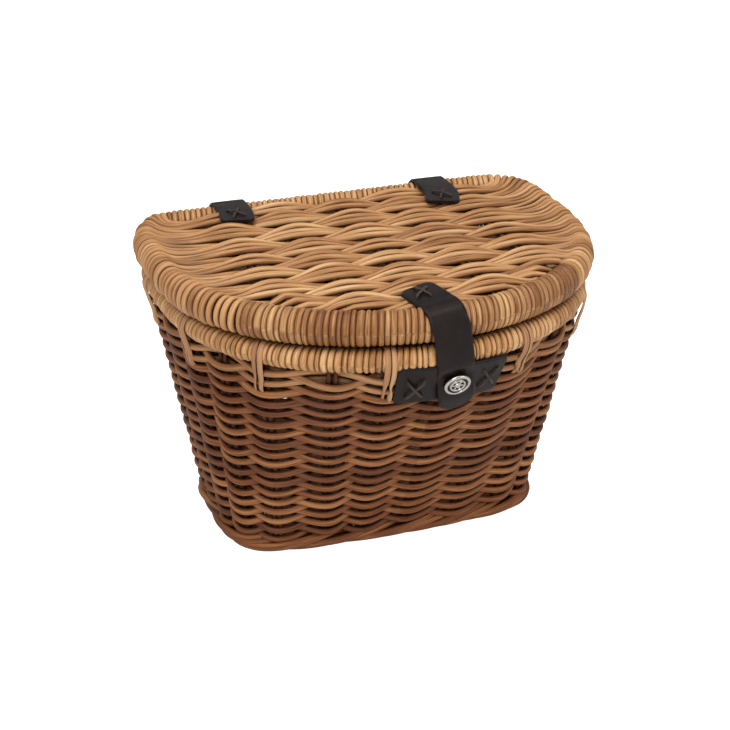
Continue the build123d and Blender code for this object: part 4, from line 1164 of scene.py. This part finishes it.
body_weave()
side_stakes()
foot_border()
base()
body_rim()
lid_wrappings()
rim_ties()
lid_panel()
lid_stakes()
lid_hoop()
hinge_straps()
closure_strap()
keeper_patch()
button()
handlebar_straps()
repaint_kept_nodes()


# ---- Stage, light and camera ----
WHITE = (1, 1, 1, 1)
FLOOR_GREY = (0.8, 0.8, 0.8, 1)
FLOOR_GLOW = 1.0
LIGHTS = (
    ("top", (-0.25, -0.35, 2.0), 1.5, 19.0),
    ("key", (-0.9, -1.5, 1.2), 0.9, 14.0),
    ("fill", (1.3, -1.5, 0.9), 1.4, 9.0),
)
WORLD_LIGHT = 0.45


def stage():
    floor = bpy.data.meshes.new("floor")
    size = 6.0
    corners = [(-size, -size, 0), (size, -size, 0), (size, size, 0), (-size, size, 0)]
    floor.from_pydata(corners, [], [(0, 1, 2, 3)])
    nodes = Nodes("floor_white")
    seen = nodes.add("ShaderNodeLightPath").outputs["Is Camera Ray"]
    glow = nodes.math("MULTIPLY", seen, FLOOR_GLOW)
    nodes.put(nodes.shader, Base_Color=FLOOR_GREY, Roughness=0.9)
    nodes.put(nodes.shader, Emission_Color=WHITE, Emission_Strength=glow)
    floor.materials.append(nodes.material)
    add_object("floor", floor)
    world = bpy.data.worlds.new("studio")
    world.use_nodes = True
    tree = world.node_tree
    background = tree.nodes["Background"]
    background.inputs["Color"].default_value = WHITE
    path = tree.nodes.new("ShaderNodeLightPath")
    bright = tree.nodes.new("ShaderNodeMapRange")
    tree.links.new(path.outputs["Is Camera Ray"], bright.inputs["Value"])
    bright.inputs["To Min"].default_value = WORLD_LIGHT
    bright.inputs["To Max"].default_value = 1.0
    tree.links.new(bright.outputs["Result"], background.inputs["Strength"])
    bpy.context.scene.world = world
    for name, place, size, power in LIGHTS:
        data = bpy.data.lights.new(name, "AREA")
        data.size = size
        data.energy = power
        aim(add_object(name, data), place, (0.0, 0.0, 0.15))
    bpy.context.scene.view_settings.view_transform = "Standard"


def aim(thing, place, target):
    """Places a light or camera and turns it to look at a point."""
    place, target = np.array(place), np.array(target)
    forward = unit(target - place)
    right = unit(np.cross(forward, (0.0, 0.0, 1.0)))
    up = np.cross(right, forward)
    matrix = np.eye(4)
    matrix[:3, 0], matrix[:3, 1], matrix[:3, 2], matrix[:3, 3] = right, up, -forward, place
    thing.matrix_world = Matrix(matrix.tolist())


CAMERA_AZIMUTH = -18.471
CAMERA_ELEVATION = 26.21
CAMERA_DISTANCE = 1.4466
CAMERA_TARGET = (-0.060, 0.0, 0.14825)
CAMERA_LENS = 86.77
CAMERA_SHIFT = (0.07329, 0.00496)


def camera():
    azimuth, elevation = math.radians(CAMERA_AZIMUTH), math.radians(CAMERA_ELEVATION)
    data = bpy.data.cameras.new("camera")
    data.lens = CAMERA_LENS
    data.sensor_width = 36.0
    data.shift_x, data.shift_y = CAMERA_SHIFT
    thing = add_object("camera", data)
    offset = np.array([
        math.sin(azimuth) * math.cos(elevation),
        -math.cos(azimuth) * math.cos(elevation),
        math.sin(elevation),
    ])
    aim(thing, np.array(CAMERA_TARGET) + offset * CAMERA_DISTANCE, CAMERA_TARGET)
    bpy.context.scene.camera = thing


stage()
camera()

bpy.context.view_layer.update()
